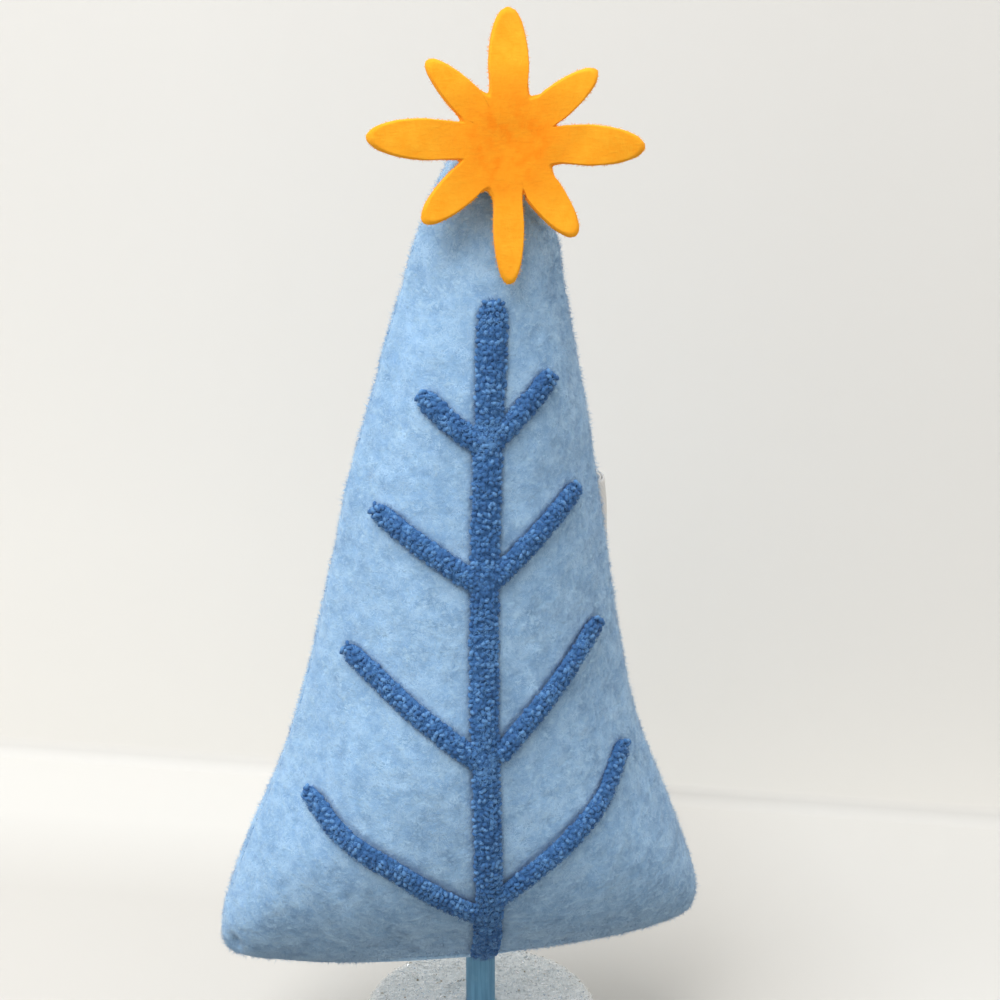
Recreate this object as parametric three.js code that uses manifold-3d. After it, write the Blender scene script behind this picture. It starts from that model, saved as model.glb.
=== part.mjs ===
// Stuffed fleece tree on a dowel trunk: all sizes in millimetres, +Z up, front towards -Y.
// The ground is z = 0 and the trunk axis is x = 0, y = 0.
import * as THREE from 'three';
import { mergeVertices } from 'three/addons/utils/BufferGeometryUtils.js';
import Module from 'manifold-3d';

const wasm = await Module();
wasm.setup();

// Clearances and material thicknesses
const GAP = 0.3;
const FLEECE = 1.8;
const SEAM_ALLOWANCE = 6.35;
const SEAM_FOLD = 1.5 * FLEECE;
const FELT = 2.0;
const RIBBON = 0.4;

// Weighted base and trunk
const BASE_RADIUS = 25.4;
const BASE_HEIGHT = 12.7;
const BASE_EDGE = 3.2;
const BASE_FOOT = 0.8;
const SOCKET_FLOOR = 3.2;
const DOWEL_RADIUS = 3.175;
const DOWEL_TOP = 128;

// Stuffed body: heights are measured from its base seam
const BODY_BOTTOM = 33;
const BODY_HEIGHT = 170.5;
const TIP_LENGTH = 24;
const TIP_HALF_WIDTH = 14.4;
const SIDE_TAPER = 0.214;
const SIDE_BULGE = 0.9;
const FLARE = 8;
const FLARE_HEIGHT = 60;
const CORNER_HEIGHT = 12;
const CORNER_TUCK = 5.2;
const MIDDLE_SAG = 4;
const CORNER_SAG = 1.6;
const BASE_DEPTH = 7.5;
const BELLY_DEPTH = 23.5;
const BELLY_HEIGHT = 30;
const ROLL_ANGLE = THREE.MathUtils.degToRad(65);
const TIP_DEPTH = 10;
const SHIFT = -3.8;
const LEAN = 6.9;
const RIM_HEIGHT = 4.2;
const CAVITY_TOP = BODY_HEIGHT - 0.45 * TIP_LENGTH;

// Looped yarn ridges
const SPINE_HALF_WIDTH = 3.5;
const BRANCH_HALF_WIDTH = 2.7;
const RIDGE_HEIGHT = 2.4;
const RIDGE_STEP = 4;

// Felt star and its glue
const STAR_ASIDE = 1;
const STAR_BELOW_TIP = 2.5;
const STAR_TILT = THREE.MathUtils.degToRad(9);
const LONG_RAY = 26;
const SHORT_RAY = 21.4;
const RAY_HALF_WIDTH = 3.75;
const RAY_TIP = 11;
const NOTCH_RADIUS = 9.2;
const TOP_BEND = 2.4;
const LOWER_BEND = 0.9;
const GLUE_RADIUS = 4.4;
const GLUE_THICKNESS = 2.9;
const GLUE_BELOW_TIP = 8;

// Sewn-in label
const LABEL_LOW = 86;
const LABEL_HEIGHT = 12.5;
const LABEL_TAIL = 4.5;
const LABEL_REACH = 1.9;
const LABEL_TURN = 6.5;
const LABEL_STAND = 0.6;

function smoothStep(t) {
  return THREE.MathUtils.smoothstep(t, 0, 1);
}

// Share of the tip's size left at a height: 1 below the tip, falling as a rounded point.
function tipShare(h) {
  const k = THREE.MathUtils.clamp((h - BODY_HEIGHT + TIP_LENGTH) / TIP_LENGTH, 0, 1);
  return Math.sqrt(1 - k);
}

// Straight taper with a slight bulge above the flare, drawn in round at the bottom corners.
function halfWidth(h) {
  const straight = BODY_HEIGHT - TIP_LENGTH;
  const side = THREE.MathUtils.clamp((h - FLARE_HEIGHT) / (straight - FLARE_HEIGHT), 0, 1);
  const bulge = SIDE_BULGE * Math.pow(Math.sin(Math.PI * side), 2);
  const flare = FLARE * smoothStep(1 - h / FLARE_HEIGHT);
  const c = THREE.MathUtils.clamp(1 - h / CORNER_HEIGHT, 0, 1);
  const tuck = CORNER_TUCK * (1 - Math.sqrt(1 - c * c));
  return (TIP_HALF_WIDTH + SIDE_TAPER * Math.max(straight - h, 0)) * tipShare(h) + bulge + flare - tuck;
}

// The foot rolls under in an arc that is upright at the belly and meets the base seam at the roll angle.
function halfDepth(h) {
  if (h < BELLY_HEIGHT) {
    const k = Math.sin(ROLL_ANGLE) * (1 - Math.max(h, 0) / BELLY_HEIGHT);
    const rolled = (1 - Math.sqrt(1 - k * k)) / (1 - Math.cos(ROLL_ANGLE));
    return BELLY_DEPTH - (BELLY_DEPTH - BASE_DEPTH) * rolled;
  }
  const span = BODY_HEIGHT - TIP_LENGTH - BELLY_HEIGHT;
  const up = THREE.MathUtils.clamp((h - BELLY_HEIGHT) / span, 0, 1);
  return (BELLY_DEPTH + (TIP_DEPTH - BELLY_DEPTH) * Math.pow(up, 1.25)) * tipShare(h);
}

function centreX(h) {
  return SHIFT + LEAN * Math.pow(Math.max(h, 0) / BODY_HEIGHT, 1.8);
}

// Power of the section: an ellipse at the base seam, a little more pointed above.
function fullness(h) {
  return 0.5 + 0.05 * smoothStep((3 * h) / BODY_HEIGHT);
}

// Puts a point at its height on the body, where the base seam sags most at its middle.
function place(x, y, h) {
  const across = Math.min(Math.abs((x - centreX(h)) / Math.max(halfWidth(h), 1)), 1.2);
  const up = THREE.MathUtils.clamp(h / BODY_HEIGHT, 0, 1);
  const sag = MIDDLE_SAG + (CORNER_SAG - MIDDLE_SAG) * across * across;
  return new THREE.Vector3(x, y, BODY_BOTTOM + h - sag * Math.pow(1 - up, 4));
}

// Depth in front of the side seams at across share s, for a section of the given half-depth.
function lens(s, depth, h) {
  return depth * Math.pow(Math.max(1 - s * s, 0), fullness(h));
}

// Point of the front surface at (x, h), moved out along its normal.
function frontPoint(x, h, out) {
  const depthAt = (px, ph) => lens((px - centreX(ph)) / halfWidth(ph), halfDepth(ph), ph) + GAP / 2;
  const e = 0.2;
  const slopeX = (depthAt(x + e, h) - depthAt(x - e, h)) / (2 * e);
  const slopeH = (depthAt(x, h + e) - depthAt(x, h - e)) / (2 * e);
  const normal = new THREE.Vector3(-slopeX, -1, -slopeH).normalize();
  const point = place(x, -depthAt(x, h), h);
  return point.addScaledVector(normal, out);
}

// Closes a stack of equal rings into one solid. The end rings are filled in the flat view given,
// or as fans where they are convex and no view is given.
function loftRings(rings, flatOf) {
  const count = rings[0].length;
  const positions = rings.flat().flatMap((p) => [p.x, p.y, p.z]);
  const index = [];
  for (let r = 0; r + 1 < rings.length; r += 1) {
    for (let i = 0; i < count; i += 1) {
      const a = r * count + i;
      const b = r * count + ((i + 1) % count);
      index.push(a, b, b + count, a, b + count, a + count);
    }
  }
  const capFaces = (ring) => {
    if (!flatOf) {
      return ring.slice(2).map((_, i) => [0, i + 1, i + 2]);
    }
    const flat = ring.map(flatOf);
    const around = Math.sign(THREE.ShapeUtils.area(flat));
    return THREE.ShapeUtils.triangulateShape(flat.map((p) => p.clone()), []).map(([a, b, c]) => {
      const turn = Math.sign(THREE.ShapeUtils.area([flat[a], flat[b], flat[c]]));
      return turn * around < 0 ? [a, c, b] : [a, b, c];
    });
  };
  const last = (rings.length - 1) * count;
  capFaces(rings[0]).forEach(([a, b, c]) => index.push(c, b, a));
  capFaces(rings[rings.length - 1]).forEach(([a, b, c]) => index.push(last + a, last + b, last + c));
  const geometry = new THREE.BufferGeometry();
  geometry.setAttribute('position', new THREE.Float32BufferAttribute(positions, 3));
  geometry.setIndex(index);
  return geometry;
}

const planView = (p) => new THREE.Vector2(p.x, p.y);

// Signed volume, used to turn a solid's faces outwards.
function signedVolume(positions, index) {
  const at = (i) => new THREE.Vector3().fromArray(positions, 3 * i);
  let six = 0;
  for (let i = 0; i < index.length; i += 3) {
    six += at(index[i]).dot(at(index[i + 1]).cross(at(index[i + 2])));
  }
  return six / 6;
}

function toSolid(geometry) {
  const bare = new THREE.BufferGeometry();
  bare.setAttribute('position', geometry.getAttribute('position'));
  bare.setIndex(geometry.getIndex());
  const joined = mergeVertices(bare, 1e-4);
  const vertProperties = Float32Array.from(joined.getAttribute('position').array);
  const triVerts = Uint32Array.from(joined.getIndex().array);
  if (signedVolume(vertProperties, triVerts) < 0) {
    triVerts.reverse();
  }
  return new wasm.Manifold(new wasm.Mesh({ numProp: 3, vertProperties, triVerts }));
}

function toGeometry(solid) {
  const mesh = solid.getMesh();
  const geometry = new THREE.BufferGeometry();
  geometry.setAttribute('position', new THREE.Float32BufferAttribute(mesh.vertProperties, 3));
  geometry.setIndex(Array.from(mesh.triVerts));
  return geometry;
}

function spread(count, from, to) {
  return Array.from({ length: count + 1 }, (_, i) => from + ((to - from) * i) / count);
}

// Across shares from -1 to 1, closer together at the seams.
const ACROSS = spread(18, -1, 1).map((u) => Math.sin((u * Math.PI) / 2));
const INSIDE = spread(12, -1, 1).map((u) => Math.sin((u * Math.PI) / 2));

const CORNER_LEVELS = spread(4, 0, 0.84).map((k) => k * k * CORNER_HEIGHT);
const TIP_LEVELS = spread(6, 0.9, 0.07).map((k) => BODY_HEIGHT - TIP_LENGTH * Math.pow(k, 1.6));
const SIDE_LEVELS = spread(17, 1.15 * CORNER_HEIGHT, BODY_HEIGHT - TIP_LENGTH);
const OUTER_LEVELS = [...CORNER_LEVELS, ...SIDE_LEVELS, ...TIP_LEVELS];

// One half of the body's outside, grown by a margin, behind or in front of the side seams.
function bodyHalf(side, margin) {
  const rings = OUTER_LEVELS.map((h) => ACROSS.map((s) => {
    const x = centreX(h) + (halfWidth(h) + margin) * s;
    const y = side * (GAP / 2 - margin * 0.7 + lens(s, halfDepth(h) + 1.7 * margin, h));
    return place(x, y, h);
  }));
  return toSolid(loftRings(rings, planView));
}

// Levels of the hollow inside the seam allowances, closer together where the body rounds under.
const HOLLOW_BOTTOM = RIM_HEIGHT + 2 * GAP;
const HOLLOW_HEIGHT = CAVITY_TOP - HOLLOW_BOTTOM;
const INNER_LEVELS = spread(18, 0, 1).map((u) => HOLLOW_BOTTOM + HOLLOW_HEIGHT * Math.pow(u, 1.5));

const innerWidth = (h) => halfWidth(h) - SEAM_FOLD;
const innerDepth = (h) => halfDepth(h) - FLEECE;

// Hollow of one panel with both seam allowances left standing at the sides.
function panelHollow(side) {
  const rings = INNER_LEVELS.map((h) => {
    const reach = Math.min(SEAM_ALLOWANCE, 0.55 * halfWidth(h));
    const meet = Math.sqrt(1 - Math.pow(FLEECE / innerDepth(h), 1 / fullness(h)));
    const mouth = halfWidth(h) - reach;
    const deep = Math.max(innerWidth(h) * meet, mouth + GAP);
    const shelf = -GAP / 2 - FLEECE;
    const curve = INSIDE.map((s) => {
      const bulge = lens((deep * s) / innerWidth(h), innerDepth(h), h);
      return [deep * s, Math.min(-GAP / 2 - bulge, shelf)];
    });
    const path = [[-mouth, FLEECE], [-mouth, shelf], ...curve, [mouth, shelf], [mouth, FLEECE]];
    return path.map(([x, y]) => place(centreX(h) + x, -side * y, h));
  });
  return toSolid(loftRings(rings, planView));
}

// Levels of the foot, shared by the panels' inside and the base panel that lies against it.
const FOOT_LEVELS = spread(4, 0, RIM_HEIGHT);

// Hollow at the foot of a panel, below the seam allowances, that takes the base panel.
function footHollow(side) {
  const levels = [-FLEECE, ...FOOT_LEVELS, Math.max(RIM_HEIGHT, 0.7 * CORNER_HEIGHT) + 6 * GAP];
  const rings = levels.map((h) => {
    const level = Math.max(h, 0);
    const wide = innerWidth(level);
    const curve = ACROSS.map((s) => [wide * s, -GAP / 2 - lens(s, innerDepth(level), level)]);
    const path = [[-wide, FLEECE], ...curve, [wide, FLEECE]];
    return path.map(([x, y]) => place(centreX(h) + x, -side * y, h));
  });
  return toSolid(loftRings(rings, planView));
}

// Ribbon folded double: it leaves the right side seam and turns towards the back.
function labelSolid(margin) {
  const seamAt = (h) => centreX(h) + halfWidth(h);
  const seam = seamAt(LABEL_LOW + LABEL_HEIGHT);
  const outer = seam + LABEL_REACH;
  const path = new THREE.CatmullRomCurve3([
    new THREE.Vector3(seam - LABEL_TAIL, 0, 0),
    new THREE.Vector3(seam + 0.2, 0, 0),
    new THREE.Vector3(outer - 0.5, 0.25 * LABEL_TURN, 0),
    new THREE.Vector3(outer, 0.6 * LABEL_TURN, 0),
    new THREE.Vector3(outer - 0.3, LABEL_TURN, 0),
  ]);
  const steps = spread(14, 0, 1);
  const beside = (t, d) => {
    const tangent = path.getTangent(t);
    const point = path.getPoint(t);
    return new THREE.Vector2(point.x - tangent.y * d, point.y + tangent.x * d);
  };
  const half = GAP / 2 + RIBBON + margin;
  const right = steps.map((t) => beside(t, -half));
  const left = steps.map((t) => beside(t, half)).reverse();
  const tip = path.getPoint(1).addScaledVector(path.getTangent(1), half);
  const outline = [...right, new THREE.Vector2(tip.x, tip.y), ...left];
  if (margin === 0) {
    const fold = steps.slice(0, -1);
    outline.push(...fold.map((t) => beside(t, GAP / 2)));
    outline.push(...fold.map((t) => beside(t, -GAP / 2)).reverse());
  }
  if (margin > 0) {
    outline.forEach((p) => p.setX(p.x - (p.x < seam - LABEL_TAIL + margin ? margin : 0)));
  }
  const depth = LABEL_HEIGHT + 2 * margin;
  const geometry = new THREE.ExtrudeGeometry(new THREE.Shape(outline), { depth, bevelEnabled: false });
  geometry.translate(0, 0, LABEL_LOW - margin);
  const corners = geometry.getAttribute('position');
  for (let i = 0; i < corners.count; i += 1) {
    const x = corners.getX(i);
    const free = THREE.MathUtils.clamp((x - seam) / LABEL_REACH, 0, 1);
    const follow = (seamAt(corners.getZ(i)) - seam) * (1 - LABEL_STAND * free);
    corners.setX(i, x + follow);
    corners.setZ(i, corners.getZ(i) + BODY_BOTTOM);
  }
  return toSolid(geometry);
}

function cylinderSolid(radius, low, high) {
  const geometry = new THREE.CylinderGeometry(radius, radius, high - low, 40);
  geometry.rotateX(Math.PI / 2);
  geometry.translate(0, 0, (low + high) / 2);
  return toSolid(geometry);
}

// Lens with the plan of the body's foot, drawn in from the panels' inside and widening with them.
function footLens(drawIn, levels) {
  const rings = levels.map((h) => {
    const wide = innerWidth(h) - drawIn;
    const deep = innerDepth(h) - drawIn;
    const half = (side) => ACROSS.slice(0, -1).map((s) => {
      const y = -side * (lens(s, deep, h) + GAP / 2);
      return place(centreX(h) + wide * s * side, y, h);
    });
    return [...half(-1), ...half(1)];
  });
  return toSolid(loftRings(rings, planView));
}

function basePanel() {
  const tray = footLens(2 * GAP, FOOT_LEVELS);
  const inside = footLens(2 * GAP + 1.5 * FLEECE, FOOT_LEVELS.map((h) => FLEECE + h));
  const hole = cylinderSolid(DOWEL_RADIUS + GAP, BODY_BOTTOM - MIDDLE_SAG - FLEECE, BODY_BOTTOM + RIM_HEIGHT);
  return tray.subtract(inside).subtract(hole);
}

function stuffing() {
  const foot = FLEECE + 2 * GAP;
  const levels = [foot, RIM_HEIGHT + 2 * GAP, ...INNER_LEVELS.slice(2, -1), CAVITY_TOP - GAP];
  const rings = levels.map((h, i) => {
    const drawIn = i < 2 ? 1.5 * FLEECE + 4 * GAP : 2 * GAP;
    const side = halfWidth(h) - Math.min(SEAM_ALLOWANCE, 0.55 * halfWidth(h)) - drawIn;
    const wide = innerWidth(h) - drawIn;
    const deep = innerDepth(h) - drawIn;
    const depthAt = (x) => lens(x / wide, deep, h) + GAP / 2;
    const front = INSIDE.map((s) => place(centreX(h) + side * s, -depthAt(side * s), h));
    const back = INSIDE.map((s) => place(centreX(h) - side * s, depthAt(side * s), h));
    return [...front, ...back];
  });
  const bore = cylinderSolid(DOWEL_RADIUS + GAP, BODY_BOTTOM - MIDDLE_SAG - FLEECE, DOWEL_TOP + GAP);
  return toSolid(loftRings(rings, planView)).subtract(bore);
}

function baseMound() {
  const profile = new THREE.Path();
  profile.moveTo(0, 0);
  profile.lineTo(BASE_RADIUS - BASE_FOOT, 0);
  profile.quadraticCurveTo(BASE_RADIUS, 0, BASE_RADIUS, BASE_FOOT);
  profile.lineTo(BASE_RADIUS, BASE_HEIGHT - 1.2 * BASE_EDGE);
  const shoulder = BASE_HEIGHT - 0.1 * BASE_EDGE;
  profile.quadraticCurveTo(BASE_RADIUS, shoulder, BASE_RADIUS - BASE_EDGE, shoulder);
  profile.lineTo(DOWEL_RADIUS + GAP, BASE_HEIGHT);
  profile.lineTo(DOWEL_RADIUS + GAP, SOCKET_FLOOR);
  profile.lineTo(0, SOCKET_FLOOR);
  return toSolid(new THREE.LatheGeometry(profile.getPoints(6), 56).rotateX(Math.PI / 2));
}

function trunkDowel() {
  const chamfer = 0.12 * DOWEL_RADIUS;
  const low = SOCKET_FLOOR + GAP;
  const profile = [
    new THREE.Vector2(0, low),
    new THREE.Vector2(DOWEL_RADIUS - chamfer, low),
    new THREE.Vector2(DOWEL_RADIUS, low + chamfer),
    new THREE.Vector2(DOWEL_RADIUS, DOWEL_TOP - chamfer),
    new THREE.Vector2(DOWEL_RADIUS - chamfer, DOWEL_TOP),
    new THREE.Vector2(0, DOWEL_TOP),
  ];
  return toSolid(new THREE.LatheGeometry(profile, 40).rotateX(Math.PI / 2));
}

// Courses of the ridges as [share across, share up] points, from the root to the tip.
const SPINE = [[0.055, 0.013], [0.008, 0.27], [-0.014, 0.53], [-0.002, 0.812]];
const BRANCHES = {
  left_1: [[-0.048, 0.655], [-0.298, 0.676], [-0.63, 0.71]],
  left_2: [[-0.038, 0.499], [-0.397, 0.536], [-0.835, 0.579]],
  left_3: [[-0.011, 0.296], [-0.423, 0.356], [-0.865, 0.414]],
  left_4: [[-0.003, 0.105], [-0.154, 0.13], [-0.386, 0.169], [-0.649, 0.203], [-0.89, 0.242]],
  right_1: [[0.042, 0.66], [0.303, 0.691], [0.63, 0.728]],
  right_2: [[0.092, 0.511], [0.434, 0.556], [0.79, 0.593]],
  right_3: [[0.104, 0.308], [0.511, 0.379], [0.845, 0.429]],
  right_4: [[0.09, 0.131], [0.192, 0.15], [0.413, 0.186], [0.658, 0.226], [0.87, 0.272]],
};

// Oval band that follows the front surface along a course and rounds off at chosen ends.
function ridge(course, halfBand, low, high, roundRoot) {
  const curve = new THREE.CatmullRomCurve3(course.map(([s, v]) => {
    const h = v * BODY_HEIGHT;
    return new THREE.Vector3(centreX(h) + halfWidth(h) * s, h, 0);
  }));
  const length = curve.getLength();
  const near = [0, 0.12, 0.4, 0.8].map((k) => (k * halfBand) / length);
  const inset = (1.3 * halfBand) / length;
  const middle = spread(Math.ceil(length / RIDGE_STEP), inset, 1 - inset);
  const stations = [...near, ...middle, ...near.map((t) => 1 - t).reverse()];
  const rings = stations.map((t) => {
    const point = curve.getPointAt(t);
    const along = curve.getTangentAt(t);
    const fromEnd = (roundRoot ? Math.min(t, 1 - t) : 1 - t) * length;
    const k = 1 - Math.min(fromEnd / halfBand, 1);
    const share = Math.max(Math.sqrt(1 - k * k), 0.25);
    return spread(9, 0, 1.8 * Math.PI).map((a) => {
      const d = halfBand * share * Math.cos(a);
      const lift = low + (high - low) * (0.5 + 0.5 * Math.sin(a)) * (0.4 + 0.6 * share);
      return frontPoint(point.x + along.y * d, point.y - along.x * d, lift);
    });
  });
  return toSolid(loftRings(rings));
}

// Directions, width and length shares of the star's rays, clockwise from the top, long and short in turn.
const RAY_DEGREES = [87, 36.5, -3, -54.5, -91, -139, -183.5, -226.5];
const RAY_WIDTH_SHARES = [1, 0.84, 1, 0.92, 0.76, 0.9, 1, 0.82];
const RAY_LENGTH_SHARES = [0.945, 1, 1, 1, 1, 1, 1, 0.97];

function starOutline() {
  const hub = new THREE.Vector2();
  const turned = (angle, along, across) => new THREE.Vector2(along, across).rotateAround(hub, angle);
  const angles = RAY_DEGREES.map((degrees) => THREE.MathUtils.degToRad(degrees));
  return angles.flatMap((angle, i) => {
    const next = i + 1 < angles.length ? angles[i + 1] : angles[0] - 2 * Math.PI;
    const notch = (angle + next) / 2;
    const straight = (i % 2 === 0 ? LONG_RAY : SHORT_RAY) * RAY_LENGTH_SHARES[i] - RAY_TIP;
    const half = RAY_HALF_WIDTH * RAY_WIDTH_SHARES[i];
    const arc = spread(6, -Math.PI / 2, Math.PI / 2);
    const rounded = arc.map((a) => turned(angle, straight + RAY_TIP * Math.cos(a), -half * Math.sin(a)));
    const rootAlong = NOTCH_RADIUS + 1.4;
    const root = 0.93 * half;
    const before = turned(angle, rootAlong, root);
    const after = turned(angle, rootAlong, -root);
    return [before, ...rounded, after, turned(notch, NOTCH_RADIUS, 0)];
  });
}

// The star hangs on the glue: its back lies one glue thickness in front of the body there.
const GLUE_LEVEL = BODY_HEIGHT - GLUE_BELOW_TIP;
const GLUE_UNDER_HUB = GLUE_BELOW_TIP - STAR_BELOW_TIP;
const STAR_CENTRE = new THREE.Vector3(
  centreX(BODY_HEIGHT) + STAR_ASIDE,
  GLUE_UNDER_HUB * Math.tan(STAR_TILT) - halfDepth(GLUE_LEVEL) - GAP / 2 - GLUE_THICKNESS - FELT / 2,
  BODY_BOTTOM + BODY_HEIGHT - STAR_BELOW_TIP,
);

// Turns star coordinates (across, up, out) into the row frame.
function starPlace(p, out) {
  const bend = LOWER_BEND * smoothStep((-p.y - 8) / 16) - TOP_BEND * smoothStep((p.y - 8) / 17);
  const away = out + bend;
  const y = p.y * Math.sin(STAR_TILT) - away * Math.cos(STAR_TILT);
  const z = p.y * Math.cos(STAR_TILT) + away * Math.sin(STAR_TILT);
  return new THREE.Vector3(p.x, y, z).add(STAR_CENTRE);
}

function star() {
  const outline = starOutline();
  const count = outline.length;
  const scales = [0.3, 0.58, 0.8, 1];
  const positions = [];
  const index = [];
  const push = (p) => positions.push(p.x, p.y, p.z);
  [FELT / 2, -FELT / 2].forEach((out) => {
    push(starPlace(new THREE.Vector2(), out));
    scales.forEach((k) => outline.forEach((p) => push(starPlace(p.clone().multiplyScalar(k), out))));
  });
  const sheet = 1 + scales.length * count;
  const at = (face, ring, i) => face * sheet + 1 + ring * count + (i % count);
  const quad = (a, b, c, d) => index.push(a, b, c, a, c, d);
  const edge = scales.length - 1;
  for (let i = 0; i < count; i += 1) {
    index.push(0, at(0, 0, i + 1), at(0, 0, i));
    index.push(sheet, at(1, 0, i), at(1, 0, i + 1));
    for (let r = 0; r < edge; r += 1) {
      quad(at(0, r, i), at(0, r, i + 1), at(0, r + 1, i + 1), at(0, r + 1, i));
      quad(at(1, r, i), at(1, r + 1, i), at(1, r + 1, i + 1), at(1, r, i + 1));
    }
    quad(at(0, edge, i), at(0, edge, i + 1), at(1, edge, i + 1), at(1, edge, i));
  }
  const geometry = new THREE.BufferGeometry();
  geometry.setAttribute('position', new THREE.Float32BufferAttribute(positions, 3));
  geometry.setIndex(index);
  return toSolid(geometry);
}

// Blob of glue that fills the space between the star's back and the tip of the body.
function starGlue(frontGrown, backGrown) {
  const back = FELT / 2 + GAP;
  const blob = new THREE.SphereGeometry(1, 28, 18);
  blob.scale(GLUE_RADIUS, 1.3 * GLUE_RADIUS, GLUE_RADIUS);
  blob.rotateX(-STAR_TILT);
  blob.translate(centreX(GLUE_LEVEL), STAR_CENTRE.y + back, BODY_BOTTOM + GLUE_LEVEL);
  const room = 8 * GLUE_RADIUS;
  const behind = new THREE.BoxGeometry(room, room, room);
  behind.translate(0, room / 2 + back, 0);
  behind.rotateX(-STAR_TILT);
  behind.translate(STAR_CENTRE.x, STAR_CENTRE.y, STAR_CENTRE.z);
  const whole = toSolid(blob).intersect(toSolid(behind)).subtract(frontGrown).subtract(backGrown);
  const rear = new THREE.BoxGeometry(room, room, room);
  rear.translate(STAR_CENTRE.x, room / 2, STAR_CENTRE.z);
  return whole.subtract(toSolid(rear));
}

const LOOKS = {
  fleece: { color: 0x9dc5e6, roughness: 0.95 },
  stuffing: { color: 0xf2f1ec, roughness: 1 },
  yarn: { color: 0x3a6397, roughness: 0.95 },
  felt: { color: 0xfda92b, roughness: 0.92 },
  glue: { color: 0xefe9d8, roughness: 0.4 },
  paint: { color: 0x4f7d9e, roughness: 0.55 },
  snow: { color: 0xe9edee, roughness: 0.7 },
  ribbon: { color: 0xebe8e0, roughness: 0.75 },
};

const tree = new THREE.Group();
tree.name = 'fabric_tree';

function addPiece(name, look, solid) {
  const material = new THREE.MeshStandardMaterial({ ...LOOKS[look], metalness: 0 });
  material.name = look;
  const mesh = new THREE.Mesh(toGeometry(solid), material);
  mesh.name = name;
  tree.add(mesh);
}

const pocket = labelSolid(GAP);
const frontPanel = bodyHalf(-1, 0).subtract(panelHollow(-1)).subtract(footHollow(-1)).subtract(pocket);
const backPanel = bodyHalf(1, 0).subtract(panelHollow(1)).subtract(footHollow(1)).subtract(pocket);

addPiece('base_mound', 'snow', baseMound());
addPiece('trunk_dowel', 'paint', trunkDowel());
addPiece('base_panel', 'fleece', basePanel());
addPiece('front_panel', 'fleece', frontPanel);
addPiece('back_panel', 'fleece', backPanel);
addPiece('stuffing', 'stuffing', stuffing());

addPiece('spine_ridge', 'yarn', ridge(SPINE, SPINE_HALF_WIDTH, GAP, GAP + RIDGE_HEIGHT, false));
const spineRoom = ridge(SPINE, SPINE_HALF_WIDTH + 2 * GAP, -RIDGE_HEIGHT, 2 * RIDGE_HEIGHT, false);
Object.entries(BRANCHES).forEach(([name, course]) => {
  const band = ridge(course, BRANCH_HALF_WIDTH, GAP, GAP + RIDGE_HEIGHT, true);
  addPiece(`branch_ridge_${name}`, 'yarn', band.subtract(spineRoom));
});

addPiece('star', 'felt', star());
addPiece('star_glue_pad', 'glue', starGlue(bodyHalf(-1, GAP), bodyHalf(1, GAP)));
addPiece('care_label', 'ribbon', labelSolid(0));

export default tree;
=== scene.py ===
import math

import bpy
import numpy as np
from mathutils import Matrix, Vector


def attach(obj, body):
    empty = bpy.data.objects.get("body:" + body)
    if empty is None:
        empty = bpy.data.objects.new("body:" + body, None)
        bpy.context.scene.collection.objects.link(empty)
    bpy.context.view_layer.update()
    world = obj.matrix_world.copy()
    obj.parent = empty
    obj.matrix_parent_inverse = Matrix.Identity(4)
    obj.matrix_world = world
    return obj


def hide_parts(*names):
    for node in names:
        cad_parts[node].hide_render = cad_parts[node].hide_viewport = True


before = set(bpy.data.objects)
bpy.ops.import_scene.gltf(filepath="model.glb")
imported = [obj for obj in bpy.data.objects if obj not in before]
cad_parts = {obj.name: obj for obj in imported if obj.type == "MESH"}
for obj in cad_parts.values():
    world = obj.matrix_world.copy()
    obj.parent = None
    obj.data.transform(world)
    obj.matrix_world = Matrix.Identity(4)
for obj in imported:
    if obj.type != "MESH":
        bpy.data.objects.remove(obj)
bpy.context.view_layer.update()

MM = 0.001

# Sizes shared with the solids
GAP = 0.3
FLEECE = 1.8
SEAM_ALLOWANCE = 6.35
TURN_SHARE = 0.55
FELT = 2.0
RIBBON = 0.4
BASE_RADIUS = 25.4
BASE_HEIGHT = 12.7
BASE_EDGE = 3.2
BASE_FOOT = 0.8
SOCKET_FLOOR = 3.2
DOWEL_RADIUS = 3.175
DOWEL_TOP = 128
BODY_BOTTOM = 33
BODY_HEIGHT = 170.5
TIP_LENGTH = 24
TIP_HALF_WIDTH = 14.4
SIDE_TAPER = 0.214
SIDE_BULGE = 0.9
FLARE = 8
FLARE_HEIGHT = 60
CORNER_HEIGHT = 12
CORNER_TUCK = 5.2
MIDDLE_SAG = 4
CORNER_SAG = 1.6
BASE_DEPTH = 7.5
BELLY_DEPTH = 23.5
BELLY_HEIGHT = 30
ROLL_ANGLE = math.radians(65)
TIP_DEPTH = 10
SHIFT = -3.8
LEAN = 6.9
RIM_HEIGHT = 4.2
SPINE_HALF_WIDTH = 3.5
BRANCH_HALF_WIDTH = 2.7
RIDGE_HEIGHT = 2.4
STAR_ASIDE = 1
STAR_BELOW_TIP = 2.5
STAR_TILT = math.radians(9)
LONG_RAY = 26
SHORT_RAY = 21.4
RAY_HALF_WIDTH = 3.75
RAY_TIP = 11
NOTCH_RADIUS = 9.2
TOP_BEND = 2.4
LOWER_BEND = 0.9
GLUE_THICKNESS = 2.9
GLUE_BELOW_TIP = 8
LABEL_LOW = 86
LABEL_HEIGHT = 12.5
LABEL_TAIL = 4.5
LABEL_REACH = 1.9
LABEL_TURN = 6.5
LABEL_STAND = 0.6

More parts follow.
